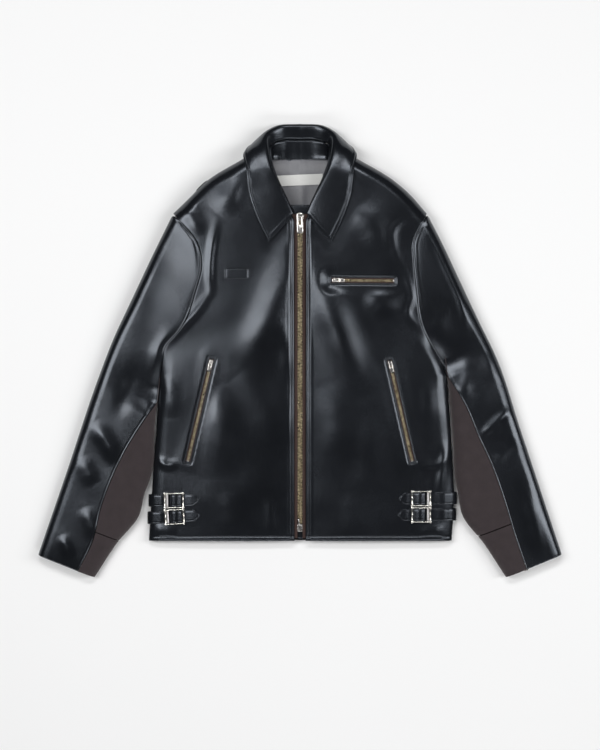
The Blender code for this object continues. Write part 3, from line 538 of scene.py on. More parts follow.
def add_piece(name, shape, body, materials, nodes=(), face_materials=None):
    """Puts a shape into the scene as a smooth mesh that rides on a body and stands for its CAD nodes."""
    mesh = bpy.data.meshes.new(name)
    corners = np.concatenate([shape.quads.reshape(-1), shape.triangles.reshape(-1)]).astype(np.int32)
    sizes = np.concatenate([np.full(len(shape.quads), 4), np.full(len(shape.triangles), 3)]).astype(np.int32)
    mesh.vertices.add(len(shape.points))
    mesh.vertices.foreach_set("co", (shape.points * MM).astype(np.float32).ravel())
    mesh.loops.add(len(corners))
    mesh.loops.foreach_set("vertex_index", corners)
    mesh.polygons.add(len(sizes))
    mesh.polygons.foreach_set("loop_start", np.concatenate([[0], np.cumsum(sizes)[:-1]]).astype(np.int32))
    mesh.polygons.foreach_set("loop_total", sizes)
    mesh.update(calc_edges=True)
    mesh.validate()
    mesh.shade_smooth()
    cloth = mesh.uv_layers.new(name="cloth")
    cloth.data.foreach_set("uv", (shape.cloth[corners] * MM).astype(np.float32).ravel())
    edge = mesh.attributes.new("edge", "FLOAT", "POINT")
    edge.data.foreach_set("value", shape.edge.astype(np.float32))
    for material in materials if isinstance(materials, (list, tuple)) else [materials]:
        mesh.materials.append(material)
    if face_materials is not None:
        mesh.polygons.foreach_set("material_index", np.asarray(face_materials, np.int32))
    piece = bpy.data.objects.new(name, mesh)
    bpy.context.scene.collection.objects.link(piece)
    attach(piece, body)
    if nodes:
        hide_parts(*nodes)
    return piece


# ---------------------------------------------------------------- finishes


class Tree:
    """Shorthand for building a node tree."""

    def __init__(self, tree):
        self.tree = tree

    def add(self, kind, inputs=None, **settings):
        node = self.tree.nodes.new(kind)
        for name, value in settings.items():
            setattr(node, name, value)
        for name, value in (inputs or {}).items():
            if isinstance(value, bpy.types.NodeSocket):
                self.tree.links.new(value, node.inputs[name])
            else:
                node.inputs[name].default_value = value
        return node

    def math(self, operation, a, b=0.0, c=0.0):
        node = self.add("ShaderNodeMath", operation=operation)
        for socket, value in zip(node.inputs, (a, b, c)):
            if isinstance(value, bpy.types.NodeSocket):
                self.tree.links.new(value, socket)
            else:
                socket.default_value = value
        return node.outputs[0]

    def ramp(self, value, low, high, a=0.0, b=1.0):
        return self.add("ShaderNodeMapRange", {"Value": value, "From Min": low, "From Max": high,
                                               "To Min": a, "To Max": b}).outputs["Result"]

    def mix(self, factor, a, b):
        node = self.add("ShaderNodeMix", data_type="RGBA")
        for index, value in ((0, factor), (6, a), (7, b)):
            if isinstance(value, bpy.types.NodeSocket):
                self.tree.links.new(value, node.inputs[index])
            else:
                node.inputs[index].default_value = value
        return node.outputs[2]


def new_group(name, inputs, outputs):
    """An empty node group with named inputs, each with its default, and named outputs."""
    group = bpy.data.node_groups.new(name, "ShaderNodeTree")
    for label, default in inputs.items():
        kind = "NodeSocketVector" if default is None else "NodeSocketFloat"
        socket = group.interface.new_socket(label, in_out="INPUT", socket_type=kind)
        if default is not None:
            socket.default_value = default
    for label in outputs:
        group.interface.new_socket(label, in_out="OUTPUT", socket_type="NodeSocketFloat")
    tree = Tree(group)
    return tree, tree.add("NodeGroupInput"), tree.add("NodeGroupOutput")


def grain_group():
    """Pebbled leather: warped cells with creases between them, over a slow swell. Place is in metres."""
    tree, given, result = new_group("leather_grain", {"Place": None, "Cells": 900.0, "Swell": 45.0},
                                    ["Height", "Crease", "Cloud"])
    warp = tree.add("ShaderNodeTexNoise", {"Vector": given.outputs["Place"], "Scale": 260.0, "Detail": 2.0})
    bent = tree.add("ShaderNodeMixRGB", {"Fac": 0.0015, "Color1": given.outputs["Place"],
                                         "Color2": warp.outputs["Color"]}, blend_type="ADD")
    cells = tree.add("ShaderNodeTexVoronoi", {"Vector": bent.outputs["Color"], "Scale": given.outputs["Cells"]},
                     feature="DISTANCE_TO_EDGE")
    crease = tree.ramp(cells.outputs["Distance"], 0.0, 0.22)
    fine = tree.add("ShaderNodeTexNoise", {"Vector": given.outputs["Place"], "Scale": 2600.0, "Detail": 3.0})
    swell = tree.add("ShaderNodeTexNoise", {"Vector": given.outputs["Place"], "Scale": given.outputs["Swell"],
                                            "Detail": 4.0, "Roughness": 0.55})
    height = tree.math("ADD", tree.math("MULTIPLY", crease, 0.35),
                       tree.math("MULTIPLY", fine.outputs["Fac"], 0.2))
    height = tree.math("ADD", height, tree.math("MULTIPLY", swell.outputs["Fac"], 3.4))
    cloud = tree.add("ShaderNodeTexNoise", {"Vector": given.outputs["Place"], "Scale": 9.0, "Detail": 5.0})
    for label, value in (("Height", height), ("Crease", crease), ("Cloud", cloud.outputs["Fac"])):
        tree.tree.links.new(value, result.inputs[label])
    return tree.tree


def weave_group():
    """Woven threads from two sets of waves on the cloth's own place. Twill turns one set to a slant."""
    tree, given, result = new_group("weave", {"Place": None, "Threads": 1800.0, "Twill": 0.0},
                                    ["Height", "Thread"])
    parts = tree.add("ShaderNodeSeparateXYZ", {"Vector": given.outputs["Place"]})
    turn = tree.math("MULTIPLY", given.outputs["Threads"], 6.2832)
    u = tree.math("MULTIPLY", parts.outputs["X"], turn)
    v = tree.math("MULTIPLY", parts.outputs["Y"], turn)
    slant = tree.math("ADD", u, tree.math("MULTIPLY", v, given.outputs["Twill"]))
    warp = tree.math("SINE", slant)
    weft = tree.math("SINE", v)
    over = tree.math("MULTIPLY", warp, weft)
    raised = tree.math("ADD", tree.math("MULTIPLY", over, 0.3), tree.math("MULTIPLY", warp, 0.25))
    tree.tree.links.new(tree.math("ADD", raised, 0.5), result.inputs["Height"])
    fuzz = tree.add("ShaderNodeTexNoise", {"Vector": given.outputs["Place"], "Scale": 900.0, "Detail": 3.0})
    tree.tree.links.new(tree.math("MULTIPLY_ADD", over, 0.2, fuzz.outputs["Fac"]), result.inputs["Thread"])
    return tree.tree


def polish_group():
    """Handled metal: fine scratches one way, small pits, and a slow change of tarnish."""
    outputs = ["Height", "Tarnish", "Smear"]
    tree, given, result = new_group("polish", {"Place": None, "Scratches": 1.0}, outputs)
    stretch = (9000.0, 700.0, 2500.0)
    drawn = tree.add("ShaderNodeMapping", {"Vector": given.outputs["Place"], "Scale": stretch})
    lines = tree.add("ShaderNodeTexNoise", {"Vector": drawn.outputs["Vector"], "Scale": 1.0, "Detail": 2.0})
    pits = tree.add("ShaderNodeTexNoise", {"Vector": given.outputs["Place"], "Scale": 1400.0, "Detail": 2.0})
    height = tree.math("ADD", tree.math("MULTIPLY", lines.outputs["Fac"], given.outputs["Scratches"]),
                       pits.outputs["Fac"])
    tarnish = tree.add("ShaderNodeTexNoise",
                       {"Vector": given.outputs["Place"], "Scale": 210.0, "Detail": 4.0})
    smear = tree.add("ShaderNodeTexNoise", {"Vector": given.outputs["Place"], "Scale": 90.0, "Detail": 3.0})
    values = (height, tarnish.outputs["Fac"], smear.outputs["Fac"])
    for label, value in zip(outputs, values):
        tree.tree.links.new(value, result.inputs[label])
    return tree.tree


def new_material(name, **constants):
    """A material with one Principled shader, whose plain values are set on the sockets."""
    material = bpy.data.materials.new(name)
    material.use_nodes = True
    tree = Tree(material.node_tree)
    shader = material.node_tree.nodes["Principled BSDF"]
    for label, value in constants.items():
        shader.inputs[label.replace("_", " ")].default_value = value
    return material, tree, shader


def object_place(tree):
    return tree.add("ShaderNodeTexCoord").outputs["Object"]


def cloth_place(tree):
    return tree.add("ShaderNodeUVMap", uv_map="cloth").outputs["UV"]


def grouped(tree, group, **inputs):
    node = tree.add("ShaderNodeGroup", node_tree=group)
    for label, value in inputs.items():
        if isinstance(value, bpy.types.NodeSocket):
            tree.tree.links.new(value, node.inputs[label])
        else:
            node.inputs[label].default_value = value
    return node


def bumped(tree, shader, height, distance, strength=1.0):
    bump = tree.add("ShaderNodeBump", {"Height": height, "Distance": distance, "Strength": strength})
    tree.tree.links.new(bump.outputs["Normal"], shader.inputs["Normal"])


def leather_material(name, groups, colour, worn, roughness, cells=900.0, depth=0.00005):
    """Coated black leather: grain, slow clouds in its gloss, and rubbed, slightly paler edges."""
    material, tree, shader = new_material(name, IOR=1.52, Specular_IOR_Level=0.46, Coat_Roughness=0.15,
                                          Specular_Tint=(0.8, 0.88, 1.0, 1.0), Coat_Tint=(0.9, 0.95, 1, 1))
    grain = grouped(tree, groups["grain"], Place=object_place(tree), Cells=cells)
    edge = tree.add("ShaderNodeAttribute", attribute_name="edge").outputs["Fac"]
    rub = tree.math("MULTIPLY", edge, tree.ramp(grain.outputs["Cloud"], 0.35, 0.65))
    lighter = [c * 1.5 for c in colour]
    shade = tree.mix(tree.ramp(grain.outputs["Cloud"], 0.3, 0.7), (*colour, 1), (*lighter, 1))
    shade = tree.mix(tree.math("MULTIPLY", rub, 0.3), shade, (*worn, 1))
    tree.tree.links.new(shade, shader.inputs["Base Color"])
    rough = tree.ramp(grain.outputs["Cloud"], 0.3, 0.7, roughness - 0.04, roughness + 0.05)
    rough = tree.math("SUBTRACT", rough, tree.math("MULTIPLY", grain.outputs["Crease"], 0.03))
    rough = tree.math("SUBTRACT", rough, tree.math("MULTIPLY", rub, 0.03))
    tree.tree.links.new(rough, shader.inputs["Roughness"])
    tree.tree.links.new(tree.ramp(grain.outputs["Cloud"], 0.3, 0.7, 0.2, 0.11), shader.inputs["Coat Weight"])
    bumped(tree, shader, grain.outputs["Height"], depth)
    return material


def fabric_material(groups):
    """Brushed taupe-grey twill with a soft nap."""
    material, tree, shader = new_material("brushed_twill", Sheen_Weight=0.35, Sheen_Roughness=0.5,
                                          Sheen_Tint=(0.8, 0.74, 0.74, 1), Specular_IOR_Level=0.2)
    weave = grouped(tree, groups["weave"], Place=cloth_place(tree), Threads=1300.0, Twill=1.0)
    nap = tree.add("ShaderNodeTexNoise", {"Vector": object_place(tree), "Scale": 60.0, "Detail": 5.0})
    blend = tree.math("ADD", tree.math("MULTIPLY", weave.outputs["Thread"], 0.5),
                      tree.math("MULTIPLY", nap.outputs["Fac"], 0.5))
    shade = tree.mix(tree.ramp(blend, 0.3, 0.7), (0.026, 0.0195, 0.021, 1), (0.046, 0.036, 0.0385, 1))
    tree.tree.links.new(shade, shader.inputs["Base Color"])
    tree.tree.links.new(tree.ramp(nap.outputs["Fac"], 0.3, 0.7, 0.8, 0.95), shader.inputs["Roughness"])
    bumped(tree, shader, weave.outputs["Height"], 0.00018, 0.8)
    return material


def satin_material(groups):
    """Grey lining satin: long floats that catch the light along the cloth."""
    material, tree, shader = new_material("lining_satin", Sheen_Weight=0.2, Anisotropic=0.45, Specular_IOR_Level=0.7,
                                          Sheen_Tint=(0.8, 0.82, 0.9, 1))
    weave = grouped(tree, groups["weave"], Place=cloth_place(tree), Threads=2600.0, Twill=0.5)
    shade = tree.mix(tree.ramp(weave.outputs["Thread"], 0.3, 0.7), (0.095, 0.097, 0.108, 1),
                     (0.15, 0.152, 0.17, 1))
    tree.tree.links.new(shade, shader.inputs["Base Color"])
    tree.tree.links.new(tree.ramp(weave.outputs["Thread"], 0.3, 0.7, 0.36, 0.5), shader.inputs["Roughness"])
    bumped(tree, shader, weave.outputs["Height"], 0.00005, 0.5)
    return material


def tape_material(groups):
    """Dark brown woven zip tape with its herringbone ribs."""
    material, tree, shader = new_material("zip_tape_weave", Sheen_Weight=0.25, Specular_IOR_Level=0.25)
    weave = grouped(tree, groups["weave"], Place=cloth_place(tree), Threads=950.0, Twill=1.0)
    shade = tree.mix(tree.ramp(weave.outputs["Thread"], 0.2, 0.8), (0.026, 0.013, 0.011, 1),
                     (0.075, 0.042, 0.035, 1))
    tree.tree.links.new(shade, shader.inputs["Base Color"])
    shader.inputs["Roughness"].default_value = 0.82
    bumped(tree, shader, weave.outputs["Height"], 0.00025)
    return material


def metal_material(name, groups, bright, dull, roughness, scratches=1.0, depth=0.000012):
    """Cast and plated metal: polished, with fine scratches and a slow, uneven change of tarnish across it."""
    material, tree, shader = new_material(name, Metallic=1.0)
    polish = grouped(tree, groups["polish"], Place=object_place(tree), Scratches=scratches)
    shade = tree.mix(tree.ramp(polish.outputs["Tarnish"], 0.32, 0.62), (*dull, 1), (*bright, 1))
    tree.tree.links.new(shade, shader.inputs["Base Color"])
    rough = tree.ramp(polish.outputs["Smear"], 0.3, 0.7, roughness - 0.05, roughness + 0.1)
    tree.tree.links.new(rough, shader.inputs["Roughness"])
    bumped(tree, shader, polish.outputs["Height"], depth)
    return material


def label_material(groups):
    material, tree, shader = new_material("label_weave", Sheen_Weight=0.2, Specular_IOR_Level=0.3)
    weave = grouped(tree, groups["weave"], Place=cloth_place(tree), Threads=2400.0, Twill=0.0)
    shade = tree.mix(tree.ramp(weave.outputs["Thread"], 0.3, 0.7), (0.6, 0.6, 0.58, 1), (0.8, 0.8, 0.78, 1))
    tree.tree.links.new(shade, shader.inputs["Base Color"])
    shader.inputs["Roughness"].default_value = 0.6
    bumped(tree, shader, weave.outputs["Height"], 0.0001)
    return material


def thread_material():
    """Twisted black sewing thread."""
    material, tree, shader = new_material("black_thread", Specular_IOR_Level=0.25)
    twist = tree.add("ShaderNodeTexNoise", {"Vector": object_place(tree), "Scale": 1600.0, "Detail": 2.0})
    shade = tree.mix(twist.outputs["Fac"], (0.003, 0.003, 0.0035, 1), (0.01, 0.01, 0.011, 1))
    tree.tree.links.new(shade, shader.inputs["Base Color"])
    shader.inputs["Roughness"].default_value = 0.55
    bumped(tree, shader, twist.outputs["Fac"], 0.0001)
    return material


def floor_material():
    material, tree, shader = new_material("pale_floor", Specular_IOR_Level=0.0)
    paper = tree.add("ShaderNodeTexNoise", {"Vector": object_place(tree), "Scale": 3.0})
    shade = tree.mix(paper.outputs["Fac"], (0.875, 0.875, 0.875, 1), (0.885, 0.885, 0.885, 1))
    tree.tree.links.new(shade, shader.inputs["Base Color"])
    shader.inputs["Roughness"].default_value = 1.0
    return material


def make_finishes():
    groups = {"grain": grain_group(), "weave": weave_group(), "polish": polish_group()}
    black, rubbed = (0.0038, 0.0042, 0.0054), (0.022, 0.024, 0.028)
    return {
        "leather": leather_material("coated_leather", groups, black, rubbed, 0.245),
        "strap": leather_material("strap_leather", groups, black, rubbed, 0.22, 1100.0, 0.00005),
        "fabric": fabric_material(groups),
        "satin": satin_material(groups),
        "tape": tape_material(groups),
        "label": label_material(groups),
        "thread": thread_material(),
        "brass": metal_material("antique_brass", groups, (0.55, 0.47, 0.31), (0.2, 0.155, 0.09), 0.3, 0.6),
        "silver": metal_material("zip_silver", groups, (0.62, 0.6, 0.58), (0.34, 0.32, 0.3), 0.24),
        "buckle": metal_material("buckle_silver", groups, (0.9, 0.88, 0.83), (0.6, 0.57, 0.52), 0.17, 0.5),
        "roller": metal_material("roller_silver", groups, (0.62, 0.6, 0.6), (0.4, 0.38, 0.38), 0.36, 1.5),
        "floor": floor_material(),
    }


# ---------------------------------------------------------------- body


PLACKET_STITCH = 6.5
HEM_STITCH = 8.0


def placket(from_edge):
    """Height of the doubled leather beside the zip: round edge, low ridge, then a sewn groove."""
    edge = -1.9 * (1 - roll(from_edge, 2.2))
    ridge = 0.8 * np.exp(-(((from_edge - 2.9) / 2.2) ** 2))
    groove = -0.75 * np.exp(-(((from_edge - PLACKET_STITCH) / 0.9) ** 2))
    shoulder = 0.35 * np.exp(-(((from_edge - PLACKET_STITCH - 4) / 2.6) ** 2))
    return edge + ridge + groove + shoulder


def hem(from_hem):
    """Turned-up hem: round lower edge, then a sewn groove."""
    edge = -2.4 * (1 - roll(from_hem, 3.0))
    groove = 0.6 * np.exp(-(((from_hem - HEM_STITCH) / 1.0) ** 2))
    return edge - groove + 0.3 * np.exp(-(((from_hem - 4.5) / 2) ** 2))


def pocket_damping(side, x, y):
    """0 beside a pocket's zip, where the leather is sewn flat, and 1 away from it."""
    near = np.min([pocket_distance(SIGN[side] * x, y, place) for place in pocket_frames(side)], axis=0)
    return smooth_step(3, 26, near)


def clear_of_collar(x, y):
    """0 under the collar, which presses the leather flat, and 1 away from it."""
    edge = np.array(COLLAR_EDGE, float)[:5]
    covered = (x < np.interp(y, edge[:, 1], edge[:, 0])) & (y > np.interp(x, [14, 56], [244, 197]))
    away = distance_to_line(x, y, [(14, 244)] + [tuple(p) for p in edge[:, :2]])
    return np.where(covered, 0, smooth_step(0, 30, away))


def front_face(side, x, y, full=None):
    """Outer face of a front: the low dome with its folds and ripples, sunk under the pocket zips."""
    full = fullness(side, x, y) if full is None else full
    sign = SIGN[side]
    loose = fold_relief(sign * x, y, BODY_FOLDS) + ripple_relief(sign * x, y, 4)
    loose = loose * pocket_damping(side, x, y) * clear_of_collar(x, y)
    loose = loose * smooth_step(-12, 18, x - 9.5) * smooth_step(0.1, 1, full)
    z = plain_front(side, x, y, full) + loose
    for place in pocket_frames(side):
        away = pocket_distance(sign * x, y, place)
        z = z - POCKET_SUNK_DEPTH * (1 - smooth_step(0, POCKET_SUNK_SLOPE, away))
    return z


def front_columns(width):
    """Distances from the zip edge: close together on the placket and on the side fold."""
    near = np.concatenate([[0, 0.25, 0.7, 1.3, 2.1], np.arange(2.8, 20, 0.8)])
    s = np.linspace(0, 1, 92)[1:]
    eased = 1 - (1 - s) ** 1.35
    near = near * min(1, width / 60)
    return np.concatenate([near, near[-1] + (width - near[-1]) * eased])


def body_rows(step):
    return np.concatenate([HEM_Y + np.array([0, 0.3, 0.9, 1.8, 3.0, 4.2, 5.4, 6.4]),
                           np.arange(HEM_Y + 7.2, HEM_Y + 10, 0.8), np.arange(HEM_Y + 11, NECK_Y, step), [NECK_Y]])


def front_panel(side, finishes):
    y = body_rows(2.5)
    neck = np.array(FRONT_NECKLINE, float)
    inner = np.where(y < neck[0, 1], neck[0, 0], through(neck[:, 1], neck[:, 0], y))
    outer = body_edge(side, y) - SEAM_GAP / 2
    from_zip = np.stack([front_columns(width) for width in outer - inner])
    x = inner[:, None] + from_zip
    rows = np.repeat(y[:, None], x.shape[1], 1)
    z = front_face(side, x, rows) + placket(from_zip) + hem(rows - HEM_Y)
    grid = np.stack([SIGN[side] * x, rows, z], -1)
    shape = cloth_shell(grid if side == "right" else grid[:, ::-1], LEATHER, rim=1.6)
    panel = add_piece(f"front_panel_{side}", shape, "garment", finishes["leather"],
                      [f"front_panel_{side}"])
    normal = np.array([[0, 0, 1.0]])
    lines = []
    y = np.linspace(HEM_Y + 5, 232, 230)
    x = np.full_like(y, 9.5 + PLACKET_STITCH)
    lines.append(np.stack([SIGN[side] * x, y, front_face(side, x, y) + placket(PLACKET_STITCH)], -1))
    x = np.linspace(18, body_edge(side, HEM_Y + HEM_STITCH) - 8, 120)
    y = np.full_like(x, HEM_Y + HEM_STITCH)
    lines.append(np.stack([SIGN[side] * x, y, front_face(side, x, y) + hem(HEM_STITCH)], -1))
    rows = [stitches(line, np.repeat(normal, len(line), 0)) for line in lines]
    add_piece(f"front_stitching_{side}", joined(rows), "garment", finishes["thread"])


def back_panel(finishes):
    """Back of the body, lying on the floor, with a sewn hem and slight waves off the floor."""
    y = body_rows(3.2)
    edges = {side: body_edge(side, y) - SEAM_GAP / 2 for side in SIGN}
    s = np.linspace(-1, 1, 181)
    eased = np.sign(s) * (1 - (1 - np.abs(s)) ** 1.25)
    x = np.where(eased < 0, eased * edges["right"][:, None], eased * edges["left"][:, None])
    rows = np.repeat(y[:, None], x.shape[1], 1)
    full = np.where(x < 0, fullness("right", -x, rows), fullness("left", x, rows))
    wave = 0.5 + 0.5 * np.tanh(ripple_relief(x, rows, 9))
    z = (EDGE_SHARE * rise(rows) - 0.5) * (1 - full) + 1.1 * wave * full
    hem_edge = np.maximum(0, 1.8 * (1 - roll(rows - HEM_Y, 3.0)))
    grid = np.stack([x, rows, z + hem_edge], -1)
    shape = cloth_shell(grid, LEATHER, rim=1.6)
    panel = add_piece("back_panel", shape, "garment", finishes["leather"], ["back_panel"])
    x = np.linspace(-262, 262, 260)
    line = np.stack([x, np.full_like(x, HEM_Y + HEM_STITCH), np.full_like(x, 0.15)], -1)
    add_piece("back_stitching", stitches(line, np.repeat([[0, 0, -1.0]], 260, 0), lift=-0.1), "garment",
              finishes["thread"])


# ---------------------------------------------------------------- sleeves


def sleeve_rows(side, arm_rows, free_rows):
    """Matching points down the sleeve, as a dict: outer fold, leather seam, inner end, share down, how free."""
    seam = np.asarray(ARMHOLE[side][::-1], float)
    share = np.linspace(0.02, 1, arm_rows)
    y = np.interp(share, shares_of(seam), seam[:, 1])
    top = np.stack([body_edge(side, y), y], -1)
    lower = np.linspace(0, 1, free_rows + 1)[1:]
    turn = shares_of(OUTER_FOLD[side])[UNDERARM_POINT]
    down = np.concatenate([share * turn, turn + lower * (1 - turn)])
    return dict(
        fold=curve(OUTER_FOLD[side], down),
        seam=np.concatenate([top, curve(FABRIC_SEAM[side], lower)]),
        inner=np.concatenate([top, curve(INNER_FOLD[side], lower)]),
        down=down,
        free=smooth_step(-0.03, 0.05, np.concatenate([(share - 1) * turn, lower * (1 - turn)])),
        lower=np.concatenate([np.zeros(arm_rows), lower]),
    )


def sleeve_surface(side, rows, share, under):
    """Upper or under face of the sleeve at shares of the way from its outer fold to its inner end."""
    fold, inner = rows["fold"][:, None], rows["inner"][:, None]
    flat = fold + (inner - fold) * share[..., None]
    width = np.linalg.norm(inner - fold, axis=-1)
    full = SLEEVE_HEIGHT + (CUFF_HEIGHT - SLEEVE_HEIGHT) * rows["down"][:, None]
    free = rows["free"][:, None]
    end_x, end_y = rows["inner"][:, :1], rows["inner"][:, 1:]
    seam_z = EDGE_SHARE * rise(end_y)
    end_top = np.maximum(plain_front(side, end_x, end_y), seam_z + 3.6)
    end_low = np.minimum(plain_back(side, end_x, end_y), seam_z - 3.6)
    blend = share**2 * (1 - free)
    top = full + (end_top - full) * blend
    low = end_low * blend
    middle = full / 2 + ((end_top + end_low) / 2 - full / 2) * blend
    swell = roll(share * width, np.minimum(SLEEVE_ROLL, 0.8 * width))
    swell = swell * (1 - free + free * roll((1 - share) * width, SLEEVE_ROLL))
    x, y = SIGN[side] * flat[..., 0], flat[..., 1]
    if under:
        wave = 0.6 * (0.5 + 0.5 * np.tanh(ripple_relief(x, y, 21)))
        z = middle - (middle - low) * swell + wave * swell
    else:
        loose = fold_relief(x, y, SLEEVE_FOLDS) + ripple_relief(x, y, 12)
        held = smooth_step(0, 14, (1 - share) * width) * (1 - free) + free
        z = middle + (top - middle) * swell + loose * swell**2 * held
        z = z - 0.9 * np.exp(-(((1 - share) * width - 5.5) ** 2)) * (1 - free) * smooth_step(20, 40, width)
    return np.stack([x, y, z], -1)


def share_of_zip(side, rows):
    """Share of the way across the sleeve where each row meets the line of the cuff zip."""
    start, end = (np.array(p, float) for p in CUFF_ZIP_ENDS[side])
    along = end - start
    fold = rows["fold"]
    across = rows["inner"] - fold
    to_zip = start - fold
    share = (to_zip[:, 0] * along[1] - to_zip[:, 1] * along[0]) / (
        across[:, 0] * along[1] - across[:, 1] * along[0])
    reach = rows["fold"] + across * share[:, None]
    return share, smooth_step(-6, 6, start[1] - reach[:, 1] + 4)


def seam_shares(side, rows, sign):
    """Where leather (sign -1) or fabric (sign 1) ends at the seam, on the upper and on the under side."""
    width = np.linalg.norm(rows["inner"] - rows["fold"], axis=1)
    reach = np.linalg.norm(rows["seam"] - rows["fold"], axis=1)
    upper = (reach + sign * SEAM_GAP / 2) / width
    zip_share, along_zip = share_of_zip(side, rows)
    under = upper * (1 - along_zip) + (zip_share + sign * 4.9 / width) * along_zip
    return upper[:, None], under[:, None]


def sleeve(side, finishes):
    """Leather of the sleeve, wrapped round the outer fold from the seam below to the seam above."""
    rows = sleeve_rows(side, 120, 150)
    upper, under = seam_shares(side, rows, -1)
    s = np.linspace(0, 1, 50) ** 1.7
    above = sleeve_surface(side, rows, upper * s, False)
    below = sleeve_surface(side, rows, under * s, True)
    grid = np.concatenate([below[:, ::-1], above[:, 1:]], 1)
    shape = cloth_shell(oriented(grid), LEATHER, rim=1.6)
    piece = add_piece(f"sleeve_{side}", shape, "garment", finishes["leather"], [f"sleeve_{side}"])
    sleeve_stitching(side, rows, upper, finishes)


def oriented(grid):
    """The grid with its normals pointing away from the middle of the sleeve."""
    normal = grid_normals(grid)
    outward = np.sum(normal * (grid - grid.mean(1, keepdims=True)), -1)
    return grid if np.median(outward) > 0 else grid[:, ::-1]


def sleeve_stitching(side, rows, upper, finishes):
    """Two rows at the shoulder end along the armhole, and one along the seam with the fabric."""
    width = np.linalg.norm(rows["inner"] - rows["fold"], axis=1)
    lines = []
    arm = rows["lower"] == 0
    for inset in (3.0, 8.0):
        share = (1 - inset / np.maximum(width, inset + 1))[:, None]
        line = sleeve_surface(side, rows, share, False)[:, 0]
        lines.append(line[arm & (width > 26) & (rows["fold"][:, 1] > 96)])
    share = upper - 3.0 / width[:, None]
    lines.append(sleeve_surface(side, rows, share, False)[:, 0][rows["lower"] > 0.05])
    shape = joined([stitches(line, np.repeat([[0, 0, 1.0]], len(line), 0)) for line in lines])
    add_piece(f"sleeve_stitching_{side}", shape, "garment", finishes["thread"])


def fabric_piece(name, side, low, high, finishes):
    """Fabric between two shares down the sleeve, wrapped round the inner fold from seam to seam."""
    rows = sleeve_rows(side, 2, 220)
    keep = (rows["lower"] >= low) & (rows["lower"] <= high)
    rows = {key: value[keep] for key, value in rows.items()}
    rows["free"] = np.maximum(rows["free"], 0)
    upper, under = seam_shares(side, rows, 1)
    s = 1 - np.linspace(0, 1, 34) ** 1.7
    above = sleeve_surface(side, rows, upper + (1 - upper) * s, False)
    below = sleeve_surface(side, rows, under + (1 - under) * s, True)
    grid = np.concatenate([below[:, ::-1], above[:, 1:]], 1)
    shape = cloth_shell(oriented(grid), FABRIC, rim=1.3)
    piece = add_piece(name, shape, "garment", finishes["fabric"], [name])


# ---------------------------------------------------------------- collar, linings and label


def collar_grid(lines, along, across):
    """Grid through matching lines, from one front end round the back of the neck to the other."""
    half = np.stack([curve(line, along) for line in lines], 1)
    knots = np.linspace(0, 1, len(lines))
    half = through(knots, half.transpose(1, 0, 2).reshape(len(lines), -1), across)
    half = half.reshape(len(across), len(along), 3).transpose(1, 0, 2)
    return np.concatenate([half, half[-2::-1] * (-1, 1, 1)])


def collar(finishes):
    """The folded-down collar with its points, and the stand that it turns over."""
    along = np.concatenate([[0, 0.003, 0.008, 0.014, 0.02], np.linspace(0.028, 1, 120)])
    across = np.concatenate([np.linspace(0, 0.88, 52), np.linspace(0.9, 1, 14)])
    grid = collar_grid([COLLAR_SEAM, COLLAR_ROLL_LINE, COLLAR_MIDDLE, COLLAR_EDGE], along, across)
    normal = grid_normals(grid)
    from_edge = lengths_along(grid[:, ::-1], 1)[:, ::-1]
    ends = lengths_along(grid, 0)
    from_end = np.minimum(ends, ends[-1:] - ends)
    near = np.minimum(from_edge, from_end)
    press = 1.1 * np.exp(-(((near - 5.8) / 1.1) ** 2)) - 0.7 * np.exp(-(((near - 2.6) / 2.0) ** 2))
    grid = grid - normal * press[..., None] * smooth_step(0.3, 0.5, across)[None, :, None]
    shape = cloth_shell(grid, 3.2, rim=3.4, outer=False)
    shape.edge *= 1.6
    fall = add_piece("collar_fall", shape, "garment", finishes["leather"], ["collar_fall"])
    column = int(np.argmin(np.abs(from_edge[len(grid) // 4] - 5.8)))
    rows = slice(3, len(grid) - 3)
    line = grid[rows, column] + normal[rows, column] * 1.3
    add_piece("collar_stitching", stitches(line, normal[rows, column]), "garment", finishes["thread"])
    seam, neck = (np.asarray(line, float) for line in (COLLAR_SEAM, NECKLINE))
    turned = neck + (0, -8, -0.6) * smooth_step(340, 352, neck[:, 1])[:, None]
    grid = collar_grid([turned, neck, (seam + neck) / 2, seam + (neck - seam) * 0.12], along,
                       np.linspace(0, 1, 22))
    stand = add_piece("collar_stand", cloth_shell(grid, 2.2, outer=False), "garment",
                      finishes["leather"], ["collar_stand"])


def lining_edge(side, y):
    return body_edge(side, y) - np.interp(y, [225, 250], [30, 52])


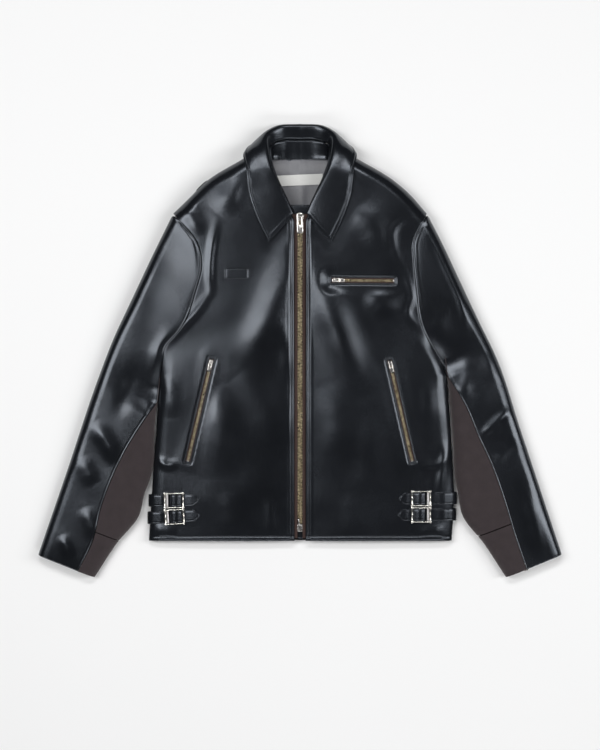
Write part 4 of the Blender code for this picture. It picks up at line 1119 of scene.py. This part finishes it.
def linings(finishes):
    """Satin inside the back and the fronts, the pocket bags, and the blank label at the neck."""
    y = np.linspace(-325, 348, 260)
    s = np.linspace(0, 1, 150)
    left, right = lining_edge("left", y), -lining_edge("right", y)
    x = right[:, None] + (left - right)[:, None] * s
    rows = np.repeat(y[:, None], len(s), 1)
    wave = 1.3 * np.exp(-(((x - 4) / 7) ** 2)) - 1.0 * np.exp(-(((x + 18) / 10) ** 2))
    wave = wave + 1.5 * ripple_relief(x, rows, 33)
    sunk = 2.0 * smooth_step(322, 344, rows)
    grid = np.stack([x, rows, 5.0 - sunk + np.clip(wave, -1.4, 1.4)], -1)
    satin = finishes["satin"]
    piece = add_piece("back_lining", cloth_shell(grid[:, ::-1], 0.5, rim=0.6), "garment", satin,
                      ["back_lining"])
    for side, sign in SIGN.items():
        y = np.linspace(-325, 225, 120)
        x = 20 + (lining_edge(side, y) - 20)[:, None] * np.linspace(0, 1, 60)
        rows = np.repeat(y[:, None], 60, 1)
        z = plain_front(side, x, rows) - 7.2 + 0.15 * np.clip(ripple_relief(x, rows, 41), -1, 1)
        grid = np.stack([sign * x, rows, z], -1)
        piece = add_piece(f"front_lining_{side}", cloth_shell(grid if sign < 0 else grid[:, ::-1], 0.5, 0.6),
                          "garment", satin, [f"front_lining_{side}"])
        pocket_bag(f"hand_pocket_bag_{side}", side, (132, 226), (-245, -25), satin)
    pocket_bag("chest_pocket_bag", "left", (48, 178), (30, 140), satin)
    x, y = np.meshgrid(np.linspace(-42, 41, 60), np.linspace(301, 320.5, 26))
    bow = 0.5 * np.cos((x + 0.5) / 41.5 * np.pi / 2)
    grid = np.stack([x, y + 0.045 * x, 6.9 + bow * 0.6], -1)
    piece = add_piece("neck_label", cloth_shell(grid[:, ::-1], 0.6, rim=0.8), "garment",
                      finishes["label"], ["neck_label"])


def zip_guard_painted_shade(finishes):
    """Strip of black leather behind the zip that closes the gap between the fronts. It is also painted shade: it
    darkens that gap below the collar, where the lining lies in shadow.
    """
    x, y = np.meshgrid(np.linspace(19, -19, 40), np.linspace(HEM_Y + 4, 264, 220))
    grid = np.stack([x, y, rise(y) - 8.6 - 0.6 * (x / 19) ** 2], -1)
    # Dark leather put here as painted shade for the shadow under the collar and zip top, as well as a flap behind
    # the zip.
    guard_painted_shade = add_piece("zip_guard_painted_shade", cloth_shell(grid, 1.2, rim=1.2), "garment", finishes["leather"])


def pocket_bag(name, side, across, up, satin):
    x, y = np.meshgrid(np.linspace(*across, 40), np.linspace(*up, 60))
    grid = np.stack([SIGN[side] * x, y, plain_front(side, x, y) - 5.4], -1)
    shape = cloth_shell(grid if side == "left" else grid[:, ::-1], 0.6, rim=0.8)
    piece = add_piece(name, shape, "garment", satin, [name])


def pen_welt(finishes):
    """Open welt pocket: a padded strip with sewn ends on the wearer's right."""
    x, y = np.meshgrid(np.linspace(91, 136, 60), np.linspace(130, 152, 34))
    u, v = (x - 113.5) / 22.5, (y - 141) / 11
    puff = 0.6 * np.sqrt(np.clip(1 - np.abs(u) ** 8, 0, 1)) * np.sqrt(np.clip(1 - np.abs(v) ** 6, 0, 1))
    seam = -0.9 * np.exp(-(((np.abs(u) * 22.5 - 20) / 0.9) ** 2))
    lip = -1.7 * smooth_step(0.62, 0.74, v) * (1 - smooth_step(0.84, 0.96, v))
    grid = np.stack([-x, y, front_face("right", x, y) + 0.35 + puff + seam + lip], -1)
    add_piece("pen_pocket_welt", cloth_shell(grid, 1.3, rim=1.0), "garment", finishes["leather"],
              ["pen_pocket_welt"])
    lines = []
    for across in (-20.0, 20.0):
        up = np.linspace(132, 150, 20)
        line_x = np.full_like(up, 113.5 + across)
        lines.append(np.stack([-line_x, up, front_face("right", line_x, up) + 1.2], -1))
    line_x = np.linspace(92, 135, 40)
    for height, lift in ((131.5, 0.8), (149.2, 0.9)):
        up = np.full_like(line_x, height)
        lines.append(np.stack([-line_x, up, front_face("right", line_x, up) + lift], -1))
    add_piece("pen_pocket_stitching", joined([stitches(line, np.repeat([[0, 0, 1.0]], len(line), 0), 2.8, 2.1)
                                              for line in lines]),
              "garment", finishes["thread"])


# ---------------------------------------------------------------- zips


def tooth(z):
    """One tooth: a body that clamps the tape, a waist, and a head that fits between the others."""
    out, tall, pitch = z["tooth_out"], z["tooth_tall"], z["pitch"]
    head, body = 0.2 * pitch, 0.3 * pitch
    stations = [(-0.26 * out, 0.5 * head, 0.6 * tall), (-0.16 * out, head, 0.85 * tall),
                (0.1 * out, 0.8 * head, 0.8 * tall), (0.28 * out, body, tall),
                (0.88 * out, body, tall), (out, 0.8 * body, 0.7 * tall)]
    outline = ellipse(8, 3.0)
    rings = [np.concatenate([np.full((8, 1), x), outline * (half, high)], 1) for x, half, high in stations]
    return lofted(rings)


def teeth_row(z, sign, low, high):
    """Teeth along one side of a zip. The other side's sit half a pitch further on."""
    count = int((high - low) / z["pitch"])
    y = low + z["pitch"] * (np.arange(count) + (0.25 if sign > 0 else 0.75))
    starts = np.stack([np.zeros(count), y, np.full(count, z["tooth_z"])], -1)
    axes = np.array([[sign, 0, 0], [0, 1, 0], [0, 0, 1.0]])
    shape = tooth(z)
    if sign < 0:
        shape.quads, shape.triangles = shape.quads[:, ::-1], shape.triangles[:, ::-1]
    return repeated(shape, starts, np.repeat(axes[None], count, 0))


def tape_strip(z, sign, low, high):
    """One side of the tape, with a corded edge beside the teeth."""
    x = np.linspace(z["tape_in"], z["tape_out"], 14)
    y = np.linspace(low, high, max(8, int((high - low) / 4)))
    across, up = np.meshgrid(x, y)
    cord = 0.35 * np.exp(-(((across - z["tape_in"] - 0.6) / 0.5) ** 2))
    grid = np.stack([sign * across, up, z["tape_z"] + 0.3 + cord], -1)
    return cloth_shell(grid if sign < 0 else grid[:, ::-1], 0.7, rim=0.5)


def slider_plate(z, low, high, bevel):
    """Shield-shaped plate: widest near its top end and narrower where the closed teeth leave it."""
    turn = np.linspace(0, 2 * np.pi, 48, endpoint=False)
    c, s = np.cos(turn), np.sin(turn)
    x = z["half"] * np.sign(c) * np.abs(c) ** 0.55 * (0.9 + 0.1 * s)
    y = z["length"] / 2 * np.sign(s) * np.abs(s) ** 0.62
    return dome(np.stack([x, y], -1), low, high, bevel)


def slider(z):
    """Two plates with turned-in sides, and the arched bail that holds the pull."""
    top, bottom, plate, half = z["top"], z["bottom"], z["plate"], z["half"]
    bevel = plate * 0.42
    parts = [slider_plate(z, top - plate, top, bevel), slider_plate(z, bottom, bottom + plate, bevel)]
    lip = z["tape_z"] + 0.35 + 0.45
    for sign in (-1, 1):
        for a, b in ((lip, top - plate * 0.4), (bottom + plate * 0.4, z["tape_z"] - 0.8)):
            if b > a + 0.2:
                x = sign * (half - 0.75)
                end = 0.33 * z["length"]
                parts.append(straight_bar((x, -end, (a + b) / 2), (x, end, (a + b) / 2),
                                          (0.6, (b - a) / 2), (0, 0, 1), power=5))
    t = np.linspace(-0.5, 0.5, 17) * np.pi
    reach, high = z["window"] / 2 + z["bail"] / 2, z["window"] + z["bail"] / 2
    rise_over = top - 0.3 + (high + 0.3) * np.abs(np.cos(t)) ** 0.6
    path = np.stack([np.zeros(17), reach * np.sin(t), rise_over], -1)
    width = z["bail_half"] * (0.75 + 0.25 * np.cos(t))
    parts.append(bar(path, np.stack([width, np.full(17, z["bail"] / 2)], -1), (0, 1, 0.001), power=2.6))
    return joined(parts)


def pull(z):
    """Tab with a long slot for the bail, a plain lower half, and an oval eye sunk in its end."""
    half, thick, length = z["pull_half"], z["pull_bar"], z["pull"]
    inner = z["bail_half"] + 0.75
    outer = round_rectangle(-half, thick - length, half, thick, 0.4 * half)
    slot = round_rectangle(-inner, -z["slot"], inner, -thick, 0.6 * inner)
    parts = [plate_between(outer, slot, -thick, thick, 0.35 * thick)]
    eye, low = z["eye"], thick - length + 0.42 * half
    rim_turn = np.linspace(0, 2 * np.pi, 33)[:-1]
    centre = np.stack([0.62 * half * np.cos(rim_turn), low + 0.3 * eye * 0.9 * np.sin(rim_turn) + 0.6,
                       np.full(32, thick)], -1)
    away = np.stack([np.cos(rim_turn), np.sin(rim_turn), np.zeros(32)], -1)
    tube = np.linspace(0, 2 * np.pi, 9)[:-1]
    radius = 0.22 * thick + 0.1
    rings = centre[:, None] + radius * (np.cos(tube)[None, :, None] * away[:, None]
                                        + np.sin(tube)[None, :, None] * np.array([0, 0, 1.0]))
    parts.append(lofted(rings, closed=True))
    return joined(parts)


def moved_in(place, offset):
    """The frame with its start shifted by an offset in its own directions."""
    start, axes, _ = place
    return start + np.asarray(offset, float) @ axes, axes


def add_slider(name, z, place, finishes, turned=False):
    """Slider at the top of its zip, and its pull hanging down it, or up it when turned."""
    length = place[2]
    centre = length - z["length"] / 2
    body = slider(z).moved(*moved_in(place, (0, centre, 0)))
    add_piece(f"{name}_slider", body, f"{name}_slider_body", finishes["silver"],
              [f"{name}_slider"])
    start, axes = moved_in(place, (0, centre, z["top"] + z["window"] / 2))
    if turned:
        axes = axes * np.array([[1.0], [-1.0], [-1.0]])
    tab = pull(z).moved(start, axes)
    add_piece(f"{name}_pull", tab, f"{name}_pull_body", finishes["silver"], [f"{name}_pull"])


def main_zip(finishes):
    z = MAIN_ZIP
    start, end = ((x, y, rise(y)) for x, y in MAIN_ZIP_ENDS)
    place = zip_frame(start, end, 1)
    length = place[2]
    for side, sign in SIGN.items():
        low = 1 if side == "left" else 9
        teeth = teeth_row(z, sign, low, length - 1).moved(*place[:2])
        add_piece(f"main_zip_teeth_{side}", teeth, "garment", finishes["brass"],
                  [f"main_zip_teeth_{side}"])
        tape = tape_strip(z, sign, -26, length - 2).moved(*place[:2])
        add_piece(f"main_zip_tape_{side}", tape, "garment", finishes["tape"],
                  [f"main_zip_tape_{side}"])
    box = straight_bar((-0.2, -14, -3.9), (-0.2, -1, -3.9), (4.8, 2.0), (0, 0, 1),
                       sides=24, power=6, steps=25)
    add_piece("main_zip_retainer_box", box.moved(*place[:2]), "garment", finishes["silver"],
              ["main_zip_retainer_box"])
    pin = straight_bar((-2.2, -11.5, -3.95), (-2.2, 8.4, -3.95), (1.05, 0.72), (0, 0, 1), power=4)
    add_piece("main_zip_insertion_pin", pin.moved(*place[:2]), "garment", finishes["silver"],
              ["main_zip_insertion_pin"])
    add_slider("main_zip", z, place, finishes)


def welt_ring(length):
    """Two padded leather lips round a pocket zip, with sewn grooves near their outer edge."""
    outer = round_rectangle(-WELT_HALF, -6.4, WELT_HALF, length + 7.4, 1.6, run=24)
    inner = round_rectangle(-WELT_LIP, -1, WELT_LIP, length + 2, 0.8, run=24)
    s = np.array([0, 0.03, 0.1, 0.22, 0.34, 0.42, 0.5, 0.6, 0.75, 0.9, 0.97, 1.0])
    lift = np.array([-0.9, -0.2, 0.08, 0.2, 0.1, -0.12, 0.12, 0.34, 0.42, 0.25, -0.1, -0.9])

    def ring(share, height):
        return np.concatenate([outer + (inner - outer) * share, np.full((len(outer), 1), height)], 1)

    rings = [ring(share, height) for share, height in zip(s, lift)]
    rings += [ring(share, -1.0) for share in (0.9, 0.1)]
    shape = lofted(rings, closed=True)
    shape.edge[:] = 0.05
    path = np.concatenate([outer + (inner - outer) * 0.42, np.zeros((len(outer), 1))], 1)
    path = np.concatenate([path, path[:1]])
    return shape, stitches(path, np.repeat([[0, 0, 1.0]], len(path), 0), 3.0, 2.2, 0.34, 0.05)


def pocket_zip(name, place, finishes):
    """A pocket's zip: teeth, tape with its bottom stop, padded welt with its stitches, and slider."""
    z = SMALL_ZIP
    length = place[2]
    teeth = joined([teeth_row(z, sign, 1, length - 1) for sign in (-1, 1)])
    add_piece(f"{name}_teeth", teeth.moved(*place[:2]), "garment", finishes["brass"],
              [f"{name}_teeth"])
    tapes = [tape_strip(z, sign, -4, length + 5) for sign in (-1, 1)]
    level = z["tooth_z"] + 0.3
    stop = straight_bar((-1.9, -0.4, level), (1.9, -0.4, level), (1.1, 0.9), (0, 0, 1), power=4)
    tape = joined(tapes + [stop])
    metal = np.concatenate([np.zeros(sum(len(t.quads) for t in tapes)), np.ones(len(stop.quads)),
                            np.zeros(sum(len(t.triangles) for t in tapes)), np.ones(len(stop.triangles))])
    add_piece(f"{name}_tape", tape.moved(*place[:2]), "garment",
              [finishes["tape"], finishes["silver"]], [f"{name}_tape"], metal)
    welt, seam = welt_ring(length)
    add_piece(f"{name}_welt", welt.moved(*place[:2]), "garment", finishes["leather"],
              [f"{name}_welt"])
    add_piece(f"{name}_stitching", seam.moved(*place[:2]), "garment", finishes["thread"])
    add_slider(name, z, place, finishes)


def cuff_zip(side, finishes):
    """Cuff zip on the under side of the sleeve, whose pull hangs out past the wrist."""
    z = SMALL_ZIP
    place = zip_frame(*[(SIGN[side] * x, y, CUFF_ZIP_Z) for x, y in CUFF_ZIP_ENDS[side]], -1)
    length = place[2]
    tapes = [tape_strip(z, sign, -4, length) for sign in (-1, 1)]
    teeth = [teeth_row(z, sign, 1, length - 0.5) for sign in (-1, 1)]
    chain = joined(tapes + teeth)
    metal = np.concatenate([np.zeros(sum(len(t.quads) for t in tapes)), np.ones(sum(len(t.quads) for t in teeth)),
                            np.zeros(sum(len(t.triangles) for t in tapes)),
                            np.ones(sum(len(t.triangles) for t in teeth))])
    name = f"cuff_zip_{side}"
    add_piece(f"{name}_chain", chain.moved(*place[:2]), "garment",
              [finishes["tape"], finishes["brass"]], [f"{name}_chain"], metal)
    add_slider(name, z, place, finishes, turned=True)


# ---------------------------------------------------------------- straps and buckles


def strap_path(spec):
    """Centre line of a strap, tip first: over the front, up over the buckle's bar, and round the side."""
    side, centre, buckle = spec["side"], spec["y"], spec["buckle"]
    edge = float(body_edge(side, centre))
    middle = EDGE_SHARE * float(rise(centre))
    flat = np.array([(spec["tip"], 1.7), (spec["tip"] + 12, 1.7), (buckle - 13.5, 1.7), (buckle - 9, 3.9),
                     (buckle - 4, 5.4), (buckle + 2, 5.4), (buckle + 6, 3.9), (buckle + 9.5, 1.7),
                     (edge - 16, 1.9)])
    z = plain_front(side, flat[:, 0], np.full(len(flat), float(centre))) + flat[:, 1]
    round_side = [(edge - 4, middle + 10.5), (edge + 2.8, middle + 4), (edge + 3.4, middle - 3),
                  (edge + 0.8, 3.2), (edge - 3, 1.5)]
    return np.concatenate([np.stack([flat[:, 0], z], -1), round_side])


def strap(name, spec, finishes):
    """Padded strap with a pointed tip, two sewn grooves and rounded edges."""
    knots = strap_path(spec)
    path = curve(knots, np.linspace(0, 1, 150))
    tangent = np.gradient(path, axis=0)
    normal = np.stack([-tangent[:, 1], tangent[:, 0]], -1)
    normal /= np.linalg.norm(normal, axis=1, keepdims=True)
    travelled = shares_of(path) * lengths_along(path, 0)[-1]
    half = STRAP_WIDTH / 2 * (1 - (1 - np.clip(travelled / 13, 0, 1)) ** 1.6 * 0.86)
    v = np.sin(np.linspace(-1, 1, 29) * np.pi / 2)
    from_edge = (1 - np.abs(v))[None] * half[:, None]
    puff = STRAP / 2 * (0.25 + 0.75 * roll(from_edge, 2.0)) * roll(travelled + 0.2, 2.0)[:, None]
    groove = 0.4 * np.exp(-(((from_edge - 2.6) / 0.6) ** 2))
    groove = groove + 0.4 * np.exp(-((travelled[:, None] - 3.2) / 0.7) ** 2)
    sign = SIGN[spec["side"]]

    def face(offset):
        x = path[:, :1] + normal[:, :1] * offset
        z = path[:, 1:] + normal[:, 1:] * offset
        y = spec["y"] - spec["tilt"] * (x - spec["buckle"]) + v[None] * half[:, None]
        return np.stack([sign * x, y, z], -1)

    top, low = face(puff - groove * 0.8), face(-puff)
    rows, columns = top.shape[:2]
    index = np.arange(rows * columns).reshape(rows, columns)
    loop = np.concatenate([index[0], index[1:, -1], index[-1, -2::-1], index[-2:0:-1, 0]])
    under = loop + rows * columns
    wall = np.stack([loop, np.roll(loop, -1), np.roll(under, -1), under], -1)
    quads = grid_quads(rows, columns)
    edge = np.exp(-from_edge / 1.6)
    shape = Shape(np.concatenate([top.reshape(-1, 3), low.reshape(-1, 3)]),
                  np.concatenate([quads, quads[:, ::-1] + rows * columns, wall[:, ::-1]]),
                  edge=np.concatenate([edge, edge]))
    add_piece(f"strap_{name}", outwards(shape), "garment", finishes["strap"],
              [f"strap_{name}"])
    lines = []
    columns = np.abs(from_edge[80] - 2.6).argsort()[:2]
    out = np.stack([sign * normal[:, 0], np.zeros(len(path)), normal[:, 1]], -1)
    for column in columns:
        lines.append((top[6:118, column], out[6:118]))
    seam = joined([stitches(line, up, 3.0, 2.1, 0.32, 0.15) for line, up in lines])
    add_piece(f"strap_{name}_stitching", seam, "garment", finishes["thread"])


def buckle_place(spec):
    """Frame of a buckle: X to its outer post, Z out of the garment."""
    side = spec["side"]
    start = on_front(side, (spec["buckle"], spec["y"])) + (0, 0, 0.3)
    turn = -SIGN[side] * spec["tilt"] + (0 if side == "left" else np.pi)
    c, s = np.cos(turn), np.sin(turn)
    return start, np.array([[c, s, 0], [-s, c, 0], [0, 0, 1.0]])


def buckle(name, spec, finishes):
    """Cast frame with flared, knobbed corners, a bar under the strap, and a roller on its own bar."""
    wide, tall = BUCKLE_WIDTH / 2 - 1.6, BUCKLE_HEIGHT / 2 - 1.45
    parts = []

    def flare(t):
        return 0.86 + 0.5 * np.abs(t) ** 7 + 0.04 * np.cos(9 * t)

    for sign in (-1, 1):
        parts.append(straight_bar((-wide - 1.2, sign * tall, 5.2), (wide + 1.2, sign * tall, 5.2),
                                  (1.1, 1.5), (0, 0, 1), flare, 14, 2.2, 31))
        parts.append(straight_bar((sign * wide, -tall, 5.3), (sign * wide, tall, 5.3),
                                  (1.75, 1.6), (0, 0, 1), flare, 14, 2.2, 31))
        for end in (-1, 1):
            parts.append(straight_bar((sign * wide, end * tall, 3.4), (sign * wide, end * tall, 7.0),
                                      (2.15, 2.0), (0, 1, 0), None, 14, 2.2, 15))
    parts.append(straight_bar((-1, -tall, 1.95), (-1, tall, 1.95), (1.15, 0.9), (0, 0, 1), None, 12, 3.5))
    for sign in (-1, 1):
        end = sign * tall
        parts.append(straight_bar((-1, end, 1.4), (-1, end, 5.2), (1.1, 1.1), (0, 1, 0), None, 10, 3))
    parts.append(straight_bar((ROLLER_X, -tall, ROLLER_Z), (ROLLER_X, tall, ROLLER_Z), (0.9, 0.9), (0, 0, 1)))
    place = buckle_place(spec)
    add_piece(f"buckle_{name}", joined(parts).moved(*place), "garment", finishes["buckle"],
              [f"buckle_{name}"])
    reach = BUCKLE_HEIGHT / 2 - 3.1
    profile = [(ROLLER_BORE, -reach), (ROLLER_RADIUS - 0.3, -reach), (ROLLER_RADIUS, 0.35 - reach)]
    profile += [(ROLLER_RADIUS, y) for y in np.linspace(-reach + 1.5, reach - 1.5, 6)]
    profile += [(ROLLER_RADIUS, reach - 0.35), (ROLLER_RADIUS - 0.3, reach), (ROLLER_BORE, reach)]
    turn = np.arange(24) * 2 * np.pi / 24
    rings = [np.stack([r * np.cos(turn), np.full(24, y), r * np.sin(turn)], -1) for r, y in profile]
    roller = lofted(rings, closed=True)
    roller.points += (ROLLER_X, 0, ROLLER_Z)
    add_piece(f"buckle_roller_{name}", roller.moved(*place), f"buckle_roller_{name}_body",
              finishes["roller"], [f"buckle_roller_{name}"])


# ---------------------------------------------------------------- floor, light and camera


VIEW_CENTRE = (0.0, -42.3)
VIEW_HEIGHT = 1350
CAMERA_UP = 3600
VIEW_LEVEL = 28
SENSOR = 36


def add_floor(finishes):
    mesh = bpy.data.meshes.new("floor")
    reach = 6.0
    mesh.from_pydata([(-reach, -reach, -0.0003), (reach, -reach, -0.0003), (reach, reach, -0.0003),
                      (-reach, reach, -0.0003)], [], [(0, 1, 2, 3)])
    mesh.materials.append(finishes["floor"])
    floor = bpy.data.objects.new("floor", mesh)
    bpy.context.scene.collection.objects.link(floor)


def add_light(name, place, target, size, power, colour=(1, 1, 1)):
    """A soft box at a place, facing the target, both in metres."""
    lamp = bpy.data.lights.new(name, "AREA")
    lamp.shape = "RECTANGLE"
    lamp.size, lamp.size_y = size
    lamp.energy = power
    lamp.color = colour
    item = bpy.data.objects.new(name, lamp)
    bpy.context.scene.collection.objects.link(item)
    item.location = place
    aim = np.asarray(target, float) - np.asarray(place, float)
    item.rotation_euler = Vector(aim).to_track_quat("-Z", "Y").to_euler()


def add_lights():
    """Soft boxes all round, high but clear of straight above, so that flat leather stays dark."""
    add_light("soft_box_left", (-1.5, 0.3, 2.75), (-0.1, 0.0, 0), (0.85, 1.9), 43)
    add_light("soft_box_right", (2.2, 0.1, 2.3), (0.1, 0.0, 0), (0.7, 2.2), 42)
    add_light("soft_box_top", (-0.15, 1.5, 2.7), (0, 0.1, 0), (1.7, 0.42), 27)
    add_light("soft_box_foot", (0.3, -2.5, 2.2), (0, -0.2, 0), (2.6, 0.8), 30)
    world = bpy.data.worlds.new("studio")
    bpy.context.scene.world = world
    world.use_nodes = True
    background = world.node_tree.nodes["Background"]
    background.inputs["Color"].default_value = (0.95, 0.98, 1.0, 1)
    background.inputs["Strength"].default_value = 0.06


def add_camera():
    """Straight above, from far enough away that the picture is nearly flat."""
    camera = bpy.data.cameras.new("camera")
    camera.sensor_width = SENSOR
    camera.lens = SENSOR * (CAMERA_UP - VIEW_LEVEL) / VIEW_HEIGHT
    item = bpy.data.objects.new("camera", camera)
    item.location = (VIEW_CENTRE[0] * MM, VIEW_CENTRE[1] * MM, CAMERA_UP * MM)
    bpy.context.scene.collection.objects.link(item)
    bpy.context.scene.camera = item


def main():
    finishes = make_finishes()
    add_camera()
    add_floor(finishes)
    add_lights()
    back_panel(finishes)
    for side in SIGN:
        front_panel(side, finishes)
        sleeve(side, finishes)
        fabric_piece(f"sleeve_gusset_{side}", side, 0.0, CUFF_SEAM - 0.0004, finishes)
        fabric_piece(f"cuff_panel_{side}", side, CUFF_SEAM + 0.0004, 1.0, finishes)
        pocket_zip(f"hand_zip_{side}", pocket_frames(side)[0], finishes)
        cuff_zip(side, finishes)
    pocket_zip("chest_zip", pocket_frames("left")[1], finishes)
    collar(finishes)
    linings(finishes)
    pen_welt(finishes)
    main_zip(finishes)
    zip_guard_painted_shade(finishes)
    for name, spec in STRAPS.items():
        strap(name, spec, finishes)
        buckle(name, spec, finishes)
    bpy.context.scene.view_settings.view_transform = "Standard"


main()
